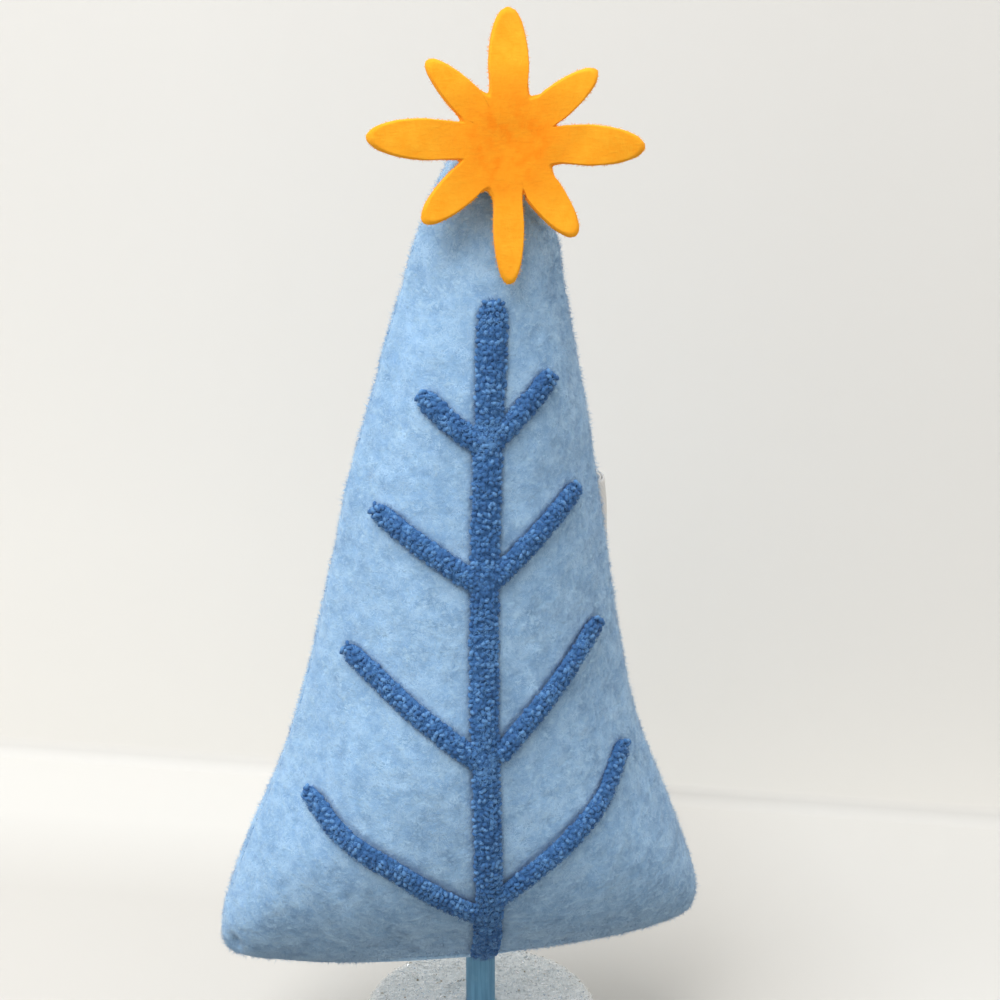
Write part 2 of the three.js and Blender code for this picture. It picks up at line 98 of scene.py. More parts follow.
# Courses of the ridges as (share across, share up) points, from the root to the tip
SPINE = [(0.055, 0.013), (0.008, 0.27), (-0.014, 0.53), (-0.002, 0.812)]
BRANCHES = {
    "left_1": [(-0.048, 0.655), (-0.298, 0.676), (-0.63, 0.71)],
    "left_2": [(-0.038, 0.499), (-0.397, 0.536), (-0.835, 0.579)],
    "left_3": [(-0.011, 0.296), (-0.423, 0.356), (-0.865, 0.414)],
    "left_4": [(-0.003, 0.105), (-0.154, 0.13), (-0.386, 0.169), (-0.649, 0.203), (-0.89, 0.242)],
    "right_1": [(0.042, 0.66), (0.303, 0.691), (0.63, 0.728)],
    "right_2": [(0.092, 0.511), (0.434, 0.556), (0.79, 0.593)],
    "right_3": [(0.104, 0.308), (0.511, 0.379), (0.845, 0.429)],
    "right_4": [(0.09, 0.131), (0.192, 0.15), (0.413, 0.186), (0.658, 0.226), (0.87, 0.272)],
}
RAY_DEGREES = [87, 36.5, -3, -54.5, -91, -139, -183.5, -226.5]
RAY_WIDTH_SHARES = [1, 0.84, 1, 0.92, 0.76, 0.9, 1, 0.82]
RAY_LENGTH_SHARES = [0.945, 1, 1, 1, 1, 1, 1, 0.97]

# Sizes of the looks alone
COVER_WALL = 1.3
SLACK = 0.8
SWELL_CAP = 1.5
CLOTH_FRAMES = 20
CLOTH_PRESSURE = 4
SPARE_CLOTH = 0.012
FOOT_ROLL = 2.2
ROLL_DROP = 0.45
ROLL_LIMIT = 0.6
FULL_SHARE, FULL_HEIGHT, FULL_SPREAD = 0.85, 46, 16
HOLLOW_HEIGHT, HOLLOW_SPREAD = 4, 15
PINCH_SHARE, PINCH_HEIGHT, PINCH_DEPTH = 0.955, 2.4, 1.9
SEAM_TUCK = 0.5
TURN_STEPS = (0.7, 2.0, 4.0, SEAM_ALLOWANCE)
HEM_DEPTHS = (2.2, 2.4)
HEM_HEIGHTS = (3.0, 0.3)
RIDGE_SINK = 0.45
NAP_LENGTH = 1.3
NAP_WIDTH = 0.14
NAP_COUNT = 64000
BASE_NAP_COUNT = 9000
STANDING_SHARE = 0.3
LINE_STEP = 0.4
ROOT_REACH = 1.6
LOOP_RADIUS = 0.28
YARN_RADIUS = 0.42
LOOP_ROW_STEP = 1.15
LOOP_COLUMN_STEP = 1.2
FUZZ_LENGTH = 0.8
FUZZ_DENSITY = 40
WALL_HEADING = math.radians(-19)
WALL_BEHIND = 128
WALL_BEND = 5.0
SHEET_REACH = 1500
CAMERA_PLACE = (-58.67, -357.24, 247.9)
CAMERA_PITCH = math.radians(71.8)
CAMERA_HEADING = math.radians(-10)
CAMERA_SENSOR = 36
CAMERA_LENS = 68.4
WINDOW_PLACE = (-470, -390, 1370)
WINDOW_AIM = (0, 0, 110)
WINDOW_SIZE = 1000
WINDOW_POWER = 17.8
SKY_COLOUR = (1.0, 0.99, 0.97, 1.0)
SKY_STRENGTH = 0.71

# Soft relief as layers of noise: (size, cell, seed)
COVER_LUMPS = ((0.25, 15, 3), (0.08, 6, 4), (0.08, 2.4, 5))
# NAP_CLUMPS picks the nap's tones: random tone and painted light, paler in clumps
NAP_CLUMPS = ((1, 1.7, 203), (0.7, 3.4, 204))
COAT_GRAINS = ((0.16, 1.6, 71), (0.12, 0.8, 72))

HASH_PRIMES = np.array([73856093, 19349663, 83492791])
HASH_SEED = 26543
HASH_MIX = 1274126177


def smooth(t):
    """Eased step: 0 below 0, 1 above 1 and 3t^2 - 2t^3 between."""
    t = np.clip(t, 0, 1)
    return t * t * (3 - 2 * t)


def soft_noise(points, cell, seed):
    """Noise from -1 to 1: hashed values at the corners of a cubic lattice, blended by eased steps."""
    q = np.asarray(points, float) / cell
    corner = np.floor(q).astype(np.int64)
    ease = smooth(q - corner)
    total = np.zeros(q.shape[:-1])
    for step in np.ndindex(2, 2, 2):
        n = np.bitwise_xor.reduce((corner + step) * HASH_PRIMES, axis=-1) ^ seed * HASH_SEED
        n = (n ^ (n >> 13)) * HASH_MIX
        n = (n ^ (n >> 16)) & 0xFFFF
        share = np.prod(np.where(np.array(step) == 1, ease, 1 - ease), axis=-1)
        total += share * (n / 32767.5 - 1)
    return total


def flat_noise(flat, cell, seed):
    """The same noise for points of a plane."""
    return soft_noise(np.concatenate([flat, np.zeros_like(flat[..., :1])], -1), cell, seed)


def layered_noise(points, layers):
    """Sum of noises, each of its own size, cell and seed."""
    return sum(size * soft_noise(points, cell, seed) for size, cell, seed in layers)


def unit(vectors):
    """Vectors divided by their own lengths."""
    return vectors / np.maximum(np.linalg.norm(vectors, axis=-1, keepdims=True), 1e-9)


def circle(count):
    """Even angles once round, without the last that would meet the first."""
    return np.linspace(0, 2 * np.pi, count, endpoint=False)


def points_at(*coordinates):
    """Points from two or three coordinates that are spread to one shape."""
    return np.stack(np.broadcast_arrays(*coordinates), -1)


def step_lengths(line):
    """Lengths of the steps between the points of a line."""
    return np.linalg.norm(np.diff(line, axis=0), axis=-1)


def running_sums(steps):
    """Sums of the steps up to each point, 0 at the start."""
    return np.concatenate([[0], np.cumsum(steps)])


def along_line(line, gone, places):
    """Points of a flat line at places, by straight steps between its points, which lie at gone."""
    return np.stack([np.interp(places, gone, line[:, n]) for n in (0, 1)], -1)


def grid_quads(rows, columns, joined=False):
    """Quads of points numbered row by row; joined closes every row from its end to its start."""
    r = np.arange(rows - 1)[:, None]
    c = np.arange(columns if joined else columns - 1)[None, :]
    n = (c + 1) % columns
    low, high = r * columns, (r + 1) * columns
    return np.stack([low + c, low + n, high + n, high + c], -1).reshape(-1, 4)


def quad_corners(grid):
    """Corner points of every cell of a grid, as four lists in order round the cell."""
    parts = grid[:-1, :-1], grid[:-1, 1:], grid[1:, 1:], grid[1:, :-1]
    return [part.reshape(-1, 3) for part in parts]


def grid_normals(grid):
    """Unit normals of a grid of points: the cross product of its steps along columns and rows."""
    return unit(np.cross(np.gradient(grid, axis=1), np.gradient(grid, axis=0)))


def closed_tube(grid):
    """Points and faces of closed rows of points, with fans from both end rows to their own middles."""
    rows, columns = grid.shape[:2]
    points = np.concatenate([grid.reshape(-1, 3), [grid[0].mean(0), grid[-1].mean(0)]])
    c = np.arange(columns)
    n = (c + 1) % columns
    pole, top = np.full(columns, rows * columns), (rows - 1) * columns
    fans = np.concatenate([np.stack([pole, n, c], -1), np.stack([pole + 1, top + c, top + n], -1)])
    return points, [grid_quads(rows, columns, True), fans]


def open_sheet(grid, joined=False):
    """Points and faces of a grid."""
    return grid.reshape(-1, 3), [grid_quads(*grid.shape[:2], joined)]


def write_piece(name, points, faces, finishes, slot, stands_for=(), which=None, shading=None):
    """Puts points in millimetres and groups of equal-sized faces into a mesh object.

    A piece with a slot rides on the root body. which gives each face its finish, and shading each point the
    normal that it is lit by."""
    mesh = bpy.data.meshes.new(name)
    mesh.vertices.add(len(points))
    mesh.vertices.foreach_set("co", (np.asarray(points) * MM).astype(np.float32).ravel())
    corners = np.concatenate([group.ravel() for group in faces]).astype(np.int32)
    sizes = np.concatenate([np.full(len(group), group.shape[1]) for group in faces])
    mesh.loops.add(len(corners))
    mesh.loops.foreach_set("vertex_index", corners)
    mesh.polygons.add(len(sizes))
    mesh.polygons.foreach_set("loop_start", (np.cumsum(sizes) - sizes).astype(np.int32))
    mesh.polygons.foreach_set("use_smooth", np.ones(len(sizes), bool))
    if which is not None:
        mesh.polygons.foreach_set("material_index", np.asarray(which, np.int32))
    mesh.update(calc_edges=True)
    if shading is not None:
        mesh.normals_split_custom_set_from_vertices(shading)
    for finish in finishes:
        mesh.materials.append(finish)
    obj = bpy.data.objects.new(name, mesh)
    bpy.context.scene.collection.objects.link(obj)
    if slot:
        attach(obj, "root")
    if stands_for:
        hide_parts(*stands_for)
    return obj


def add_wall(obj, thickness, offset):
    """Gives a sheet a wall: an offset of -1 grows it inwards from the outside, and 0 to both sides."""
    modifier = obj.modifiers.new("wall", "SOLIDIFY")
    modifier.thickness = thickness * MM
    modifier.offset = offset
    modifier.use_even_offset = False


# Materials


def tone(red, green, blue):
    """Linear colour of a screen colour given from 0 to 255."""
    share = np.array([red, green, blue]) / 255
    linear = np.where(share <= 0.04045, share / 12.92, ((share + 0.055) / 1.055) ** 2.4)
    return (*map(float, linear), 1.0)


def math_operator(operation, turned=False):
    """Method that joins a value and another by a Math node; turned puts the other first."""

    def join(self, other):
        first, second = (other, self) if turned else (self, other)
        return self.finish.node("ShaderNodeMath", {"operation": operation}, {0: first, 1: second})

    return join


class Value:
    """A shader socket in an expression: each operator adds the Math node that works it out."""

    def __init__(self, finish, socket):
        self.finish = finish
        self.socket = socket

    __add__, __radd__ = math_operator("ADD"), math_operator("ADD", True)
    __sub__, __rsub__ = math_operator("SUBTRACT"), math_operator("SUBTRACT", True)
    __mul__, __rmul__ = math_operator("MULTIPLY"), math_operator("MULTIPLY", True)
    __gt__, __lt__ = math_operator("GREATER_THAN"), math_operator("LESS_THAN")


class Finish:
    """One material: node() adds any node, and surface() ends it with a shader."""

    def __init__(self, name):
        self.material = bpy.data.materials.new(name)
        self.material.use_nodes = True
        self.tree = self.material.node_tree
        self.tree.nodes.clear()

    def node(self, kind, settings=None, inputs=None, out=0):
        """Adds a node with its settings and its inputs, plain or linked, and gives back one output."""
        made = self.tree.nodes.new(kind)
        for key, value in (settings or {}).items():
            setattr(made, key, value)
        for key, value in (inputs or {}).items():
            if isinstance(value, Value):
                self.tree.links.new(value.socket, made.inputs[key])
            else:
                made.inputs[key].default_value = value
        return None if out is None else Value(self, made.outputs[out])

    def here(self):
        """The point on the piece, in object coordinates."""
        return self.node("ShaderNodeTexCoord", out="Object")

    def drawn_out(self, *shares):
        """The point with its coordinates multiplied by shares; a small share draws a grain out that way."""
        return self.node("ShaderNodeVectorMath", {"operation": "MULTIPLY"}, {0: self.here(), 1: shares})

    def grain(self, size, detail=2.0, rough=0.55, at=None, warp=0.0):
        """Noise from 0 to 1 whose spots are about size millimetres across."""
        inputs = {"Vector": at or self.here(), "Scale": 1000 / size}
        inputs |= {"Detail": detail, "Roughness": rough, "Distortion": warp}
        return self.node("ShaderNodeTexNoise", {"noise_dimensions": "3D"}, inputs)

    def spread(self, value, low, high):
        """Value stretched so that low gives 0 and high gives 1, clamped."""
        inputs = {"Value": value, "From Min": low, "From Max": high}
        return self.node("ShaderNodeMapRange", {"clamp": True}, inputs)

    def blend(self, share, first, second):
        """Colour first where share is 0 and second where it is 1."""
        return self.node("ShaderNodeMix", {"data_type": "RGBA"}, {0: share, 6: first, 7: second}, out=2)

    def bump(self, height, depth, strength=1.0):
        """Normal tilted by a height from 0 to 1 that is depth millimetres tall."""
        inputs = {"Height": height, "Distance": depth * MM, "Strength": strength}
        return self.node("ShaderNodeBump", None, inputs)

    def surface(self, **sockets):
        """Principled shader with the named sockets, underscores for spaces, joined to the output."""
        named = {key.replace("_", " "): value for key, value in sockets.items()}
        shader = self.node("ShaderNodeBsdfPrincipled", None, named)
        self.node("ShaderNodeOutputMaterial", None, {"Surface": shader}, out=None)
        return self.material


FLEECE_PALE = tone(177, 210, 236)
FLEECE_BODY = tone(158, 195, 226)
FLEECE_DEEP = tone(141, 180, 215)
YARN_PALE = tone(100, 148, 200)
YARN_BODY = tone(73, 120, 175)
YARN_DEEP = tone(64, 108, 163)
FELT_PALE = tone(255, 181, 48)
FELT_BODY = tone(255, 163, 34)
# painted shade of the star's pressed-in hub
FELT_HUB_SHADE = tone(255, 146, 26)
CLOTH_SHADER = {"Roughness": 0.95, "Specular_IOR_Level": 0.1, "Sheen_Roughness": 0.5}


def fleece_finish():
    """Napped fleece: pale and deeper spots of a millimetre or two, broad soft clouds and a tufted bump."""
    f = Finish("fleece")
    spots = f.spread(f.grain(1.6, 3.0, 0.6), 0.34, 0.68)
    clouds = f.spread(f.grain(11.0), 0.3, 0.72)
    # random tone and painted light: the spots that raise the tufts also make them paler, and the hollows
    # deeper
    colour = f.blend(spots * 0.7 + clouds * 0.3, FLEECE_DEEP, FLEECE_PALE)
    tufts = f.bump(f.grain(0.9) * 0.4 + spots * 0.6, 0.4, 0.6)
    return f.surface(Base_Color=colour, Sheen_Weight=0.3, Normal=tufts, **CLOTH_SHADER)


def fibre_finish(name, colour, sheen):
    """Loose fibre of one colour; its variety comes from the other fibres beside it."""
    return Finish(name).surface(Base_Color=colour, Sheen_Weight=sheen, **CLOTH_SHADER)


def fibre_tones(name, body, pale, deep, sheen):
    """Loose fibre in three tones: its body colour, a paler one and a deeper one."""
    tones = {name: body, f"{name}_pale": pale, f"{name}_deep": deep}
    return [fibre_finish(end, colour, sheen) for end, colour in tones.items()]


def yarn_ground_finish():
    """Packed yarn under the loops: deep blue with half-millimetre strands."""
    f = Finish("yarn_ground")
    strands = f.spread(f.grain(0.8, 3.0), 0.3, 0.7)
    colour = f.blend(strands, YARN_DEEP, YARN_BODY)
    return f.surface(Base_Color=colour, Normal=f.bump(strands, 0.4), **CLOTH_SHADER)


def felt_finish():
    """Pressed felt: matted fibres in two crossing drawn-out grains, soft blotches and painted shade on the
    hub.
    """
    f = Finish("felt")
    lengthwise, crosswise = f.drawn_out(1.0, 1.0, 0.28), f.drawn_out(0.28, 1.0, 1.0)
    fibres = f.grain(0.55, 3.0, 0.6, lengthwise, 0.8) * 0.5 + f.grain(0.55, 3.0, 0.6, crosswise, 0.8) * 0.5
    blotches = f.grain(3.2, 3.0, 0.6)
    ends = {0: f.here(), 1: tuple(float(v) * MM for v in STAR_CENTRE)}
    away = f.node("ShaderNodeVectorMath", {"operation": "DISTANCE"}, ends, out="Value")
    # painted shade: the hub is a deeper orange, mottled by the blotches, where the felt is pressed in
    hub = 1 - f.spread(away, 6 * MM, 15 * MM)
    mix = f.spread(fibres * 0.5 + blotches * 0.5, 0.36, 0.64)
    colour = f.blend(mix, FELT_BODY, FELT_PALE)
    colour = f.blend(hub * (0.4 + 0.6 * f.spread(blotches, 0.4, 0.6)), colour, FELT_HUB_SHADE)
    matted = f.bump(fibres, 0.35, 0.4)
    shader = dict(CLOTH_SHADER, Specular_IOR_Level=0.08)
    return f.surface(Base_Color=colour, Sheen_Weight=0.06, Normal=matted, **shader)


def paint_finish():
    """Satin blue paint that lets the wood's long grain show faintly."""
    f = Finish("painted_wood")
    grain = f.grain(0.7, 3.0, 0.6, f.drawn_out(1.0, 1.0, 0.06))
    wear = f.spread(f.grain(6.0, 4.0, 0.6), 0.55, 0.75)
    colour = f.blend(f.spread(grain, 0.35, 0.65), tone(82, 130, 161), tone(101, 153, 184))
    colour = f.blend(wear * 0.35, colour, tone(128, 173, 199))
    lines = f.bump(grain, 0.12, 0.6)
    return f.surface(Base_Color=colour, Roughness=0.42 + grain * 0.2, Specular_IOR_Level=0.4, Normal=lines)


def snow_finish():
    """White grainy coat with painted grey shade in its pits, a few tan grains and glossy specks."""
    f = Finish("snow_coat")
    inputs = {"Vector": f.here(), "Scale": 1300.0}
    grains = f.node("ShaderNodeTexVoronoi", {"feature": "F1"}, inputs, out="Color")
    share = f.node("ShaderNodeSeparateColor", None, {"Color": grains}, out=0)
    pits = f.spread(f.grain(1.3, 3.0, 0.65), 0.35, 0.62)
    # painted shade: the coat is greyer where its bump is low, in the pits
    colour = f.blend(pits, tone(240, 242, 241), tone(253, 254, 253))
    colour = f.blend((share > 0.992) * 0.5, colour, tone(160, 142, 114))
    gloss = 0.75 - 0.5 * (share < 0.12)
    grainy = f.bump(share * 0.5 + pits, 0.3)
    return f.surface(Base_Color=colour, Roughness=gloss, Specular_IOR_Level=0.5, Normal=grainy)


def flake_finish(name, colour, metal, rough):
    """Glitter flake of one colour."""
    return Finish(name).surface(Base_Color=colour, Metallic=metal, Roughness=rough)


def glue_finish():
    """Cloudy set glue: milky blotches under a soft gloss."""
    f = Finish("set_glue")
    cloud = f.spread(f.grain(2.5, 3.0), 0.3, 0.7)
    colour = f.blend(cloud, tone(226, 218, 196), tone(243, 239, 228))
    uneven = f.bump(cloud, 0.3, 0.5)
    return f.surface(Base_Color=colour, Roughness=0.3 + cloud * 0.2, Specular_IOR_Level=0.5, Normal=uneven)


def ribbon_finish():
    """Plain woven ribbon: fine crossing threads by a wave up the label and one across it."""
    f = Finish("ribbon")

    def thread(way, scale, warp):
        inputs = {"Vector": f.here(), "Scale": scale, "Distortion": warp}
        return f.node("ShaderNodeTexWave", {"bands_direction": way}, inputs)

    threads = thread("Z", 900.0, 0.6) * 0.5 + thread("DIAGONAL", 500.0, 0.8) * 0.5
    colour = f.blend(threads * 0.6 + f.grain(3.0) * 0.4, tone(198, 197, 195), tone(228, 227, 225))
    woven = f.bump(threads, 0.1, 0.6)
    return f.surface(Base_Color=colour, Roughness=0.7, Specular_IOR_Level=0.3, Sheen_Weight=0.2, Normal=woven)


def stuffing_finish():
    """Loose white fibre: tangled streaks with soft shaded hollows."""
    f = Finish("fibre_fill")
    tangle = f.grain(1.2, 5.0, 0.7, None, 2.0)
    colour = f.blend(f.spread(tangle, 0.3, 0.7), tone(214, 212, 206), tone(247, 246, 242))
    return f.surface(Base_Color=colour, Roughness=1.0, Specular_IOR_Level=0.1, Normal=f.bump(tangle, 0.8))


def backdrop_finish():
    """Pale paper: painted light on the floor's bend at left, painted shade on the wall to the right, clear
    from behind.

    To diffuse rays it shows the light that it throws back, which is little in front of the figurine and least
    to its left."""
    f = Finish("backdrop_paper")
    inputs = {"Vector": f.here()}
    x, y, z = (f.node("ShaderNodeSeparateXYZ", None, inputs, out=k) for k in range(3))

    def between(value, low, high):
        return f.spread(value, low * MM, high * MM)

    away = y * math.cos(WALL_HEADING) - x * math.sin(WALL_HEADING)
    # painted light: the floor is paler along the bend on the left
    painted_bend_light = between(away, WALL_BEHIND - 75, WALL_BEHIND - 35) * between(x, 70, 0)
    cloud = f.grain(240.0)
    floor = f.blend(cloud, tone(199, 197, 193), tone(204, 202, 198))
    floor = f.blend(painted_bend_light, floor, tone(214, 213, 210))
    # painted light: the floor is paler to the right
    floor = f.blend(between(x, 60, 110), floor, tone(208, 207, 204))
    wall = f.blend(cloud, tone(235, 234, 231), tone(241, 240, 237))
    # painted shade: the wall is duller towards the bend and to the right
    wall = f.blend(between(z, 70, WALL_BEND), wall, tone(233, 232, 229))
    wall = f.blend(between(x, -50, 110), wall, tone(232, 231, 228))
    # painted light and shade in the light thrown back: to diffuse rays the floor is dark in front of the
    # figurine, darkest to its left, while the floor behind and the wall are brighter than the camera sees
    # them
    front = f.blend(between(x, 90, -20), tone(164, 161, 156), tone(142, 139, 134))
    thrown = f.blend(between(y, 40, 0), tone(215, 212, 205), front)
    up = between(z, 0.5 * WALL_BEND, WALL_BEND)
    thrown = f.blend(up, thrown, tone(250, 249, 246))
    diffuse = f.node("ShaderNodeLightPath", out="Is Diffuse Ray")
    colour = f.blend(diffuse, f.blend(up, floor, wall), thrown)
    shader = {"Base Color": colour, "Roughness": 0.9, "Specular IOR Level": 0.1}
    paper = f.node("ShaderNodeBsdfPrincipled", None, shader)
    reverse = f.node("ShaderNodeNewGeometry", out="Backfacing")
    clear = f.node("ShaderNodeBsdfTransparent")
    sheet = f.node("ShaderNodeMixShader", None, {0: reverse, 1: paper, 2: clear})
    f.node("ShaderNodeOutputMaterial", None, {"Surface": sheet}, out=None)
    return f.material


# Shape of the stuffed body


def tip_share(h):
    """Square root of the share of the rounded tip that is left above a height, 1 below the tip."""
    return np.sqrt(1 - np.clip((h - BODY_HEIGHT + TIP_LENGTH) / TIP_LENGTH, 0, 1))


def half_width(h):
    """Straight taper to the tip with a slight bulge, an eased flare at the base and rounded corners."""
    c = np.clip(1 - h / CORNER_HEIGHT, 0, 1)
    top = BODY_HEIGHT - TIP_LENGTH
    straight = TIP_HALF_WIDTH + SIDE_TAPER * np.maximum(top - h, 0)
    bulge = SIDE_BULGE * np.sin(np.pi * np.clip((h - FLARE_HEIGHT) / (top - FLARE_HEIGHT), 0, 1)) ** 2
    flare = FLARE * smooth(1 - h / FLARE_HEIGHT)
    return straight * tip_share(h) + bulge + flare - CORNER_TUCK * (1 - np.sqrt(1 - c * c))


def half_depth(h):
    """Arc that rolls from the base seam out to the upright belly, then a bent taper to the rounded tip."""
    k = math.sin(ROLL_ANGLE) * (1 - np.clip(h / BELLY_HEIGHT, 0, 1))
    rolled = (1 - np.sqrt(1 - k * k)) / (1 - math.cos(ROLL_ANGLE))
    low = BELLY_DEPTH - (BELLY_DEPTH - BASE_DEPTH) * rolled
    up = np.clip((h - BELLY_HEIGHT) / (BODY_HEIGHT - TIP_LENGTH - BELLY_HEIGHT), 0, 1)
    high = (BELLY_DEPTH + (TIP_DEPTH - BELLY_DEPTH) * up**1.25) * tip_share(h)
    return np.where(h < BELLY_HEIGHT, low, high)


def centre_x(h):
    """Middle of the body at a height: a shift, and a lean that grows by a power of the height."""
    return SHIFT + LEAN * (np.maximum(h, 0) / BODY_HEIGHT) ** 1.8


def lens(s, depth, h):
    """Lens-shaped section: depth times (1 - s^2) to a power that rises a little above the base seam."""
    return depth * np.maximum(1 - s * s, 0) ** (0.5 + 0.05 * smooth(3 * h / BODY_HEIGHT))


def seam_sag(x, h):
    """Sag of the cover at x and a height: most at the middle of the base seam, fading upwards by a power."""
    across = np.minimum(np.abs((x - centre_x(h)) / np.maximum(half_width(h), 1)), 1.2)
    sag = MIDDLE_SAG + (CORNER_SAG - MIDDLE_SAG) * across**2
    return sag * (1 - np.clip(h / BODY_HEIGHT, 0, 1)) ** 4


def body_point(x, y, h):
    """Point at its height, less the sag of the cover there."""
    return points_at(x, y, BODY_BOTTOM + h - seam_sag(x, h))


TIP_HEIGHTS = BODY_HEIGHT - TIP_LENGTH * np.linspace(1, 0.02, 600) ** 2
TABLE_HEIGHTS = np.concatenate([np.linspace(0, 1, 900)[:-1] ** 1.3 * (BODY_HEIGHT - TIP_LENGTH), TIP_HEIGHTS])
SEAM_STEPS = np.hypot(np.diff(half_width(TABLE_HEIGHTS)), np.diff(TABLE_HEIGHTS))
TABLE_SHARES = running_sums(SEAM_STEPS) / SEAM_STEPS.sum()


def height_at(v):
    """Height at share v of the way up the side seam, measured along the seam."""
    return np.interp(v, TABLE_SHARES, TABLE_HEIGHTS)


def share_at(h):
    """Share of the way up the side seam at a height."""
    return np.interp(h, TABLE_HEIGHTS, TABLE_SHARES)


def foot_roll(s, h):
    """Roll of the front's left: a bell of fullness above, less one at the base seam, eased out sideways."""
    full = FULL_SHARE * np.exp(-(((h - FULL_HEIGHT) / FULL_SPREAD) ** 2))
    hollow = np.exp(-(((h - HOLLOW_HEIGHT) / HOLLOW_SPREAD) ** 2))
    return FOOT_ROLL * (full - hollow) * smooth((0.97 + s) / 0.3) * smooth((0.25 - s) / 0.5)


def cover_form(side, u, v):
    """Cover before stuffing: the lens section at v up the seam, at the sine of u across, short by a slack.

    The front also takes the foot's roll, and hangs lower where the roll draws it in."""
    h = height_at(v)
    s = np.sin(u * np.pi / 2)
    deep = lens(s, half_depth(h) - SLACK * tip_share(h), h)
    roll = np.maximum(foot_roll(s, h), -ROLL_LIMIT * deep) if side < 0 else 0 * deep
    point = body_point(centre_x(h) + half_width(h) * s, side * (GAP / 2 + deep + roll), h)
    point[..., 2] += ROLL_DROP * np.minimum(roll, 0)
    return point


def stuff_cover(columns=29, rows=47):
    """Movement of the sewn cover's points under stuffing pressure, for the front and the back.

    Both panels form one closed ring of cloth held at its seams; a short cloth simulation with a little spare
    cloth and outward pressure moves the points between the seams. The movement is capped by a hyperbolic
    tangent and averaged with its neighbours three times, so that the broad swell stays and creases don't."""
    u, v = np.meshgrid(np.linspace(-1, 1, columns), np.linspace(0, 1, rows))
    panels = [cover_form(side, u, v) for side in (-1, 1)]
    ring = np.concatenate([panels[0], panels[1][:, -2:0:-1]], axis=1)
    around = ring.shape[1]
    form = write_piece("cover_form", *closed_tube(ring), [], None)
    number = np.arange(rows * around).reshape(rows, around)
    poles = [rows * around, rows * around + 1]
    held = np.concatenate([number[:, 0], number[:, columns - 1], number[0], number[-1], poles])
    seams = form.vertex_groups.new(name="seams")
    seams.add(np.unique(held).tolist(), 1.0, "REPLACE")
    cloth = form.modifiers.new("stuffing", "CLOTH")
    cloth.settings.quality = 6
    cloth.settings.mass = 0.3
    cloth.settings.vertex_group_mass = "seams"
    cloth.settings.use_pressure = True
    cloth.settings.uniform_pressure_force = CLOTH_PRESSURE
    cloth.settings.shrink_min = -SPARE_CLOTH
    cloth.settings.effector_weights.gravity = 0
    cloth.point_cache.frame_start = 1
    cloth.point_cache.frame_end = CLOTH_FRAMES
    for n in range(1, CLOTH_FRAMES + 1):
        bpy.context.scene.frame_set(n)
    stuffed = form.evaluated_get(bpy.context.evaluated_depsgraph_get()).data
    moved = np.empty(3 * len(stuffed.vertices), np.float32)
    stuffed.vertices.foreach_get("co", moved)
    bpy.context.scene.frame_set(1)
    bpy.data.objects.remove(form)
    moved = moved.reshape(-1, 3)[: rows * around].reshape(rows, around, 3) / MM - ring
    far = np.maximum(np.linalg.norm(moved, axis=-1, keepdims=True), 1e-9)
    moved = moved * SWELL_CAP * np.tanh(far / SWELL_CAP) / far
    for _ in range(3):
        moved = np.pad(moved, ((1, 1), (0, 0), (0, 0)), "edge")
        moved = (moved[:-2] + 2 * moved[1:-1] + moved[2:]) / 4
        moved = (np.roll(moved, 1, axis=1) + 2 * moved + np.roll(moved, -1, axis=1)) / 4
    loose = smooth((1 - np.abs(np.linspace(-1, 1, columns))) / 0.3)[:, None]
    back = np.concatenate([moved[:, :1], moved[:, : columns - 2 : -1]], axis=1)
    return [moved[:, :columns] * loose, back * loose]


def cubic_sample(grid, u, v):
    """Vectors of a grid at u along a row and v up the rows, by four cubic weights each way."""

    def taps(place, count):
        place = np.clip(place, 0, count - 1.000001)
        first = np.floor(place).astype(int)
        t = place - first
        outer = ((2 - t) * t - 1) * t / 2, (t - 1) * t * t / 2
        inner = ((3 * t - 5) * t * t + 2) / 2, ((4 - 3 * t) * t + 1) * t / 2
        return [np.clip(first + n, 0, count - 1) for n in (-1, 0, 1, 2)], [outer[0], *inner, outer[1]]

    r, row_weights = taps(v * (grid.shape[0] - 1), grid.shape[0])
    c, column_weights = taps((u + 1) / 2 * (grid.shape[1] - 1), grid.shape[1])
    pairs = np.ndindex(4, 4)
    return sum((row_weights[i] * column_weights[j])[..., None] * grid[r[i], c[j]] for i, j in pairs)


SWELL = dict(zip((-1, 1), stuff_cover()))


def cover_point(side, u, v):
    """Stuffed cover: its form plus the movement that the stuffing gave it."""
    return cover_form(side, u, v) + cubic_sample(SWELL[side], u, v)


def front_frame(x, h):
    """Point and outward normal of the stuffed front at x and a height, from small steps both ways."""

    def lay(px, ph):
        s = np.clip((px - centre_x(ph)) / half_width(ph), -1, 1)
        return cover_point(-1, np.arcsin(s) * 2 / np.pi, share_at(ph))

    e = LINE_STEP
    return lay(x, h), unit(np.cross(lay(x + e, h) - lay(x - e, h), lay(x, h + e) - lay(x, h - e)))


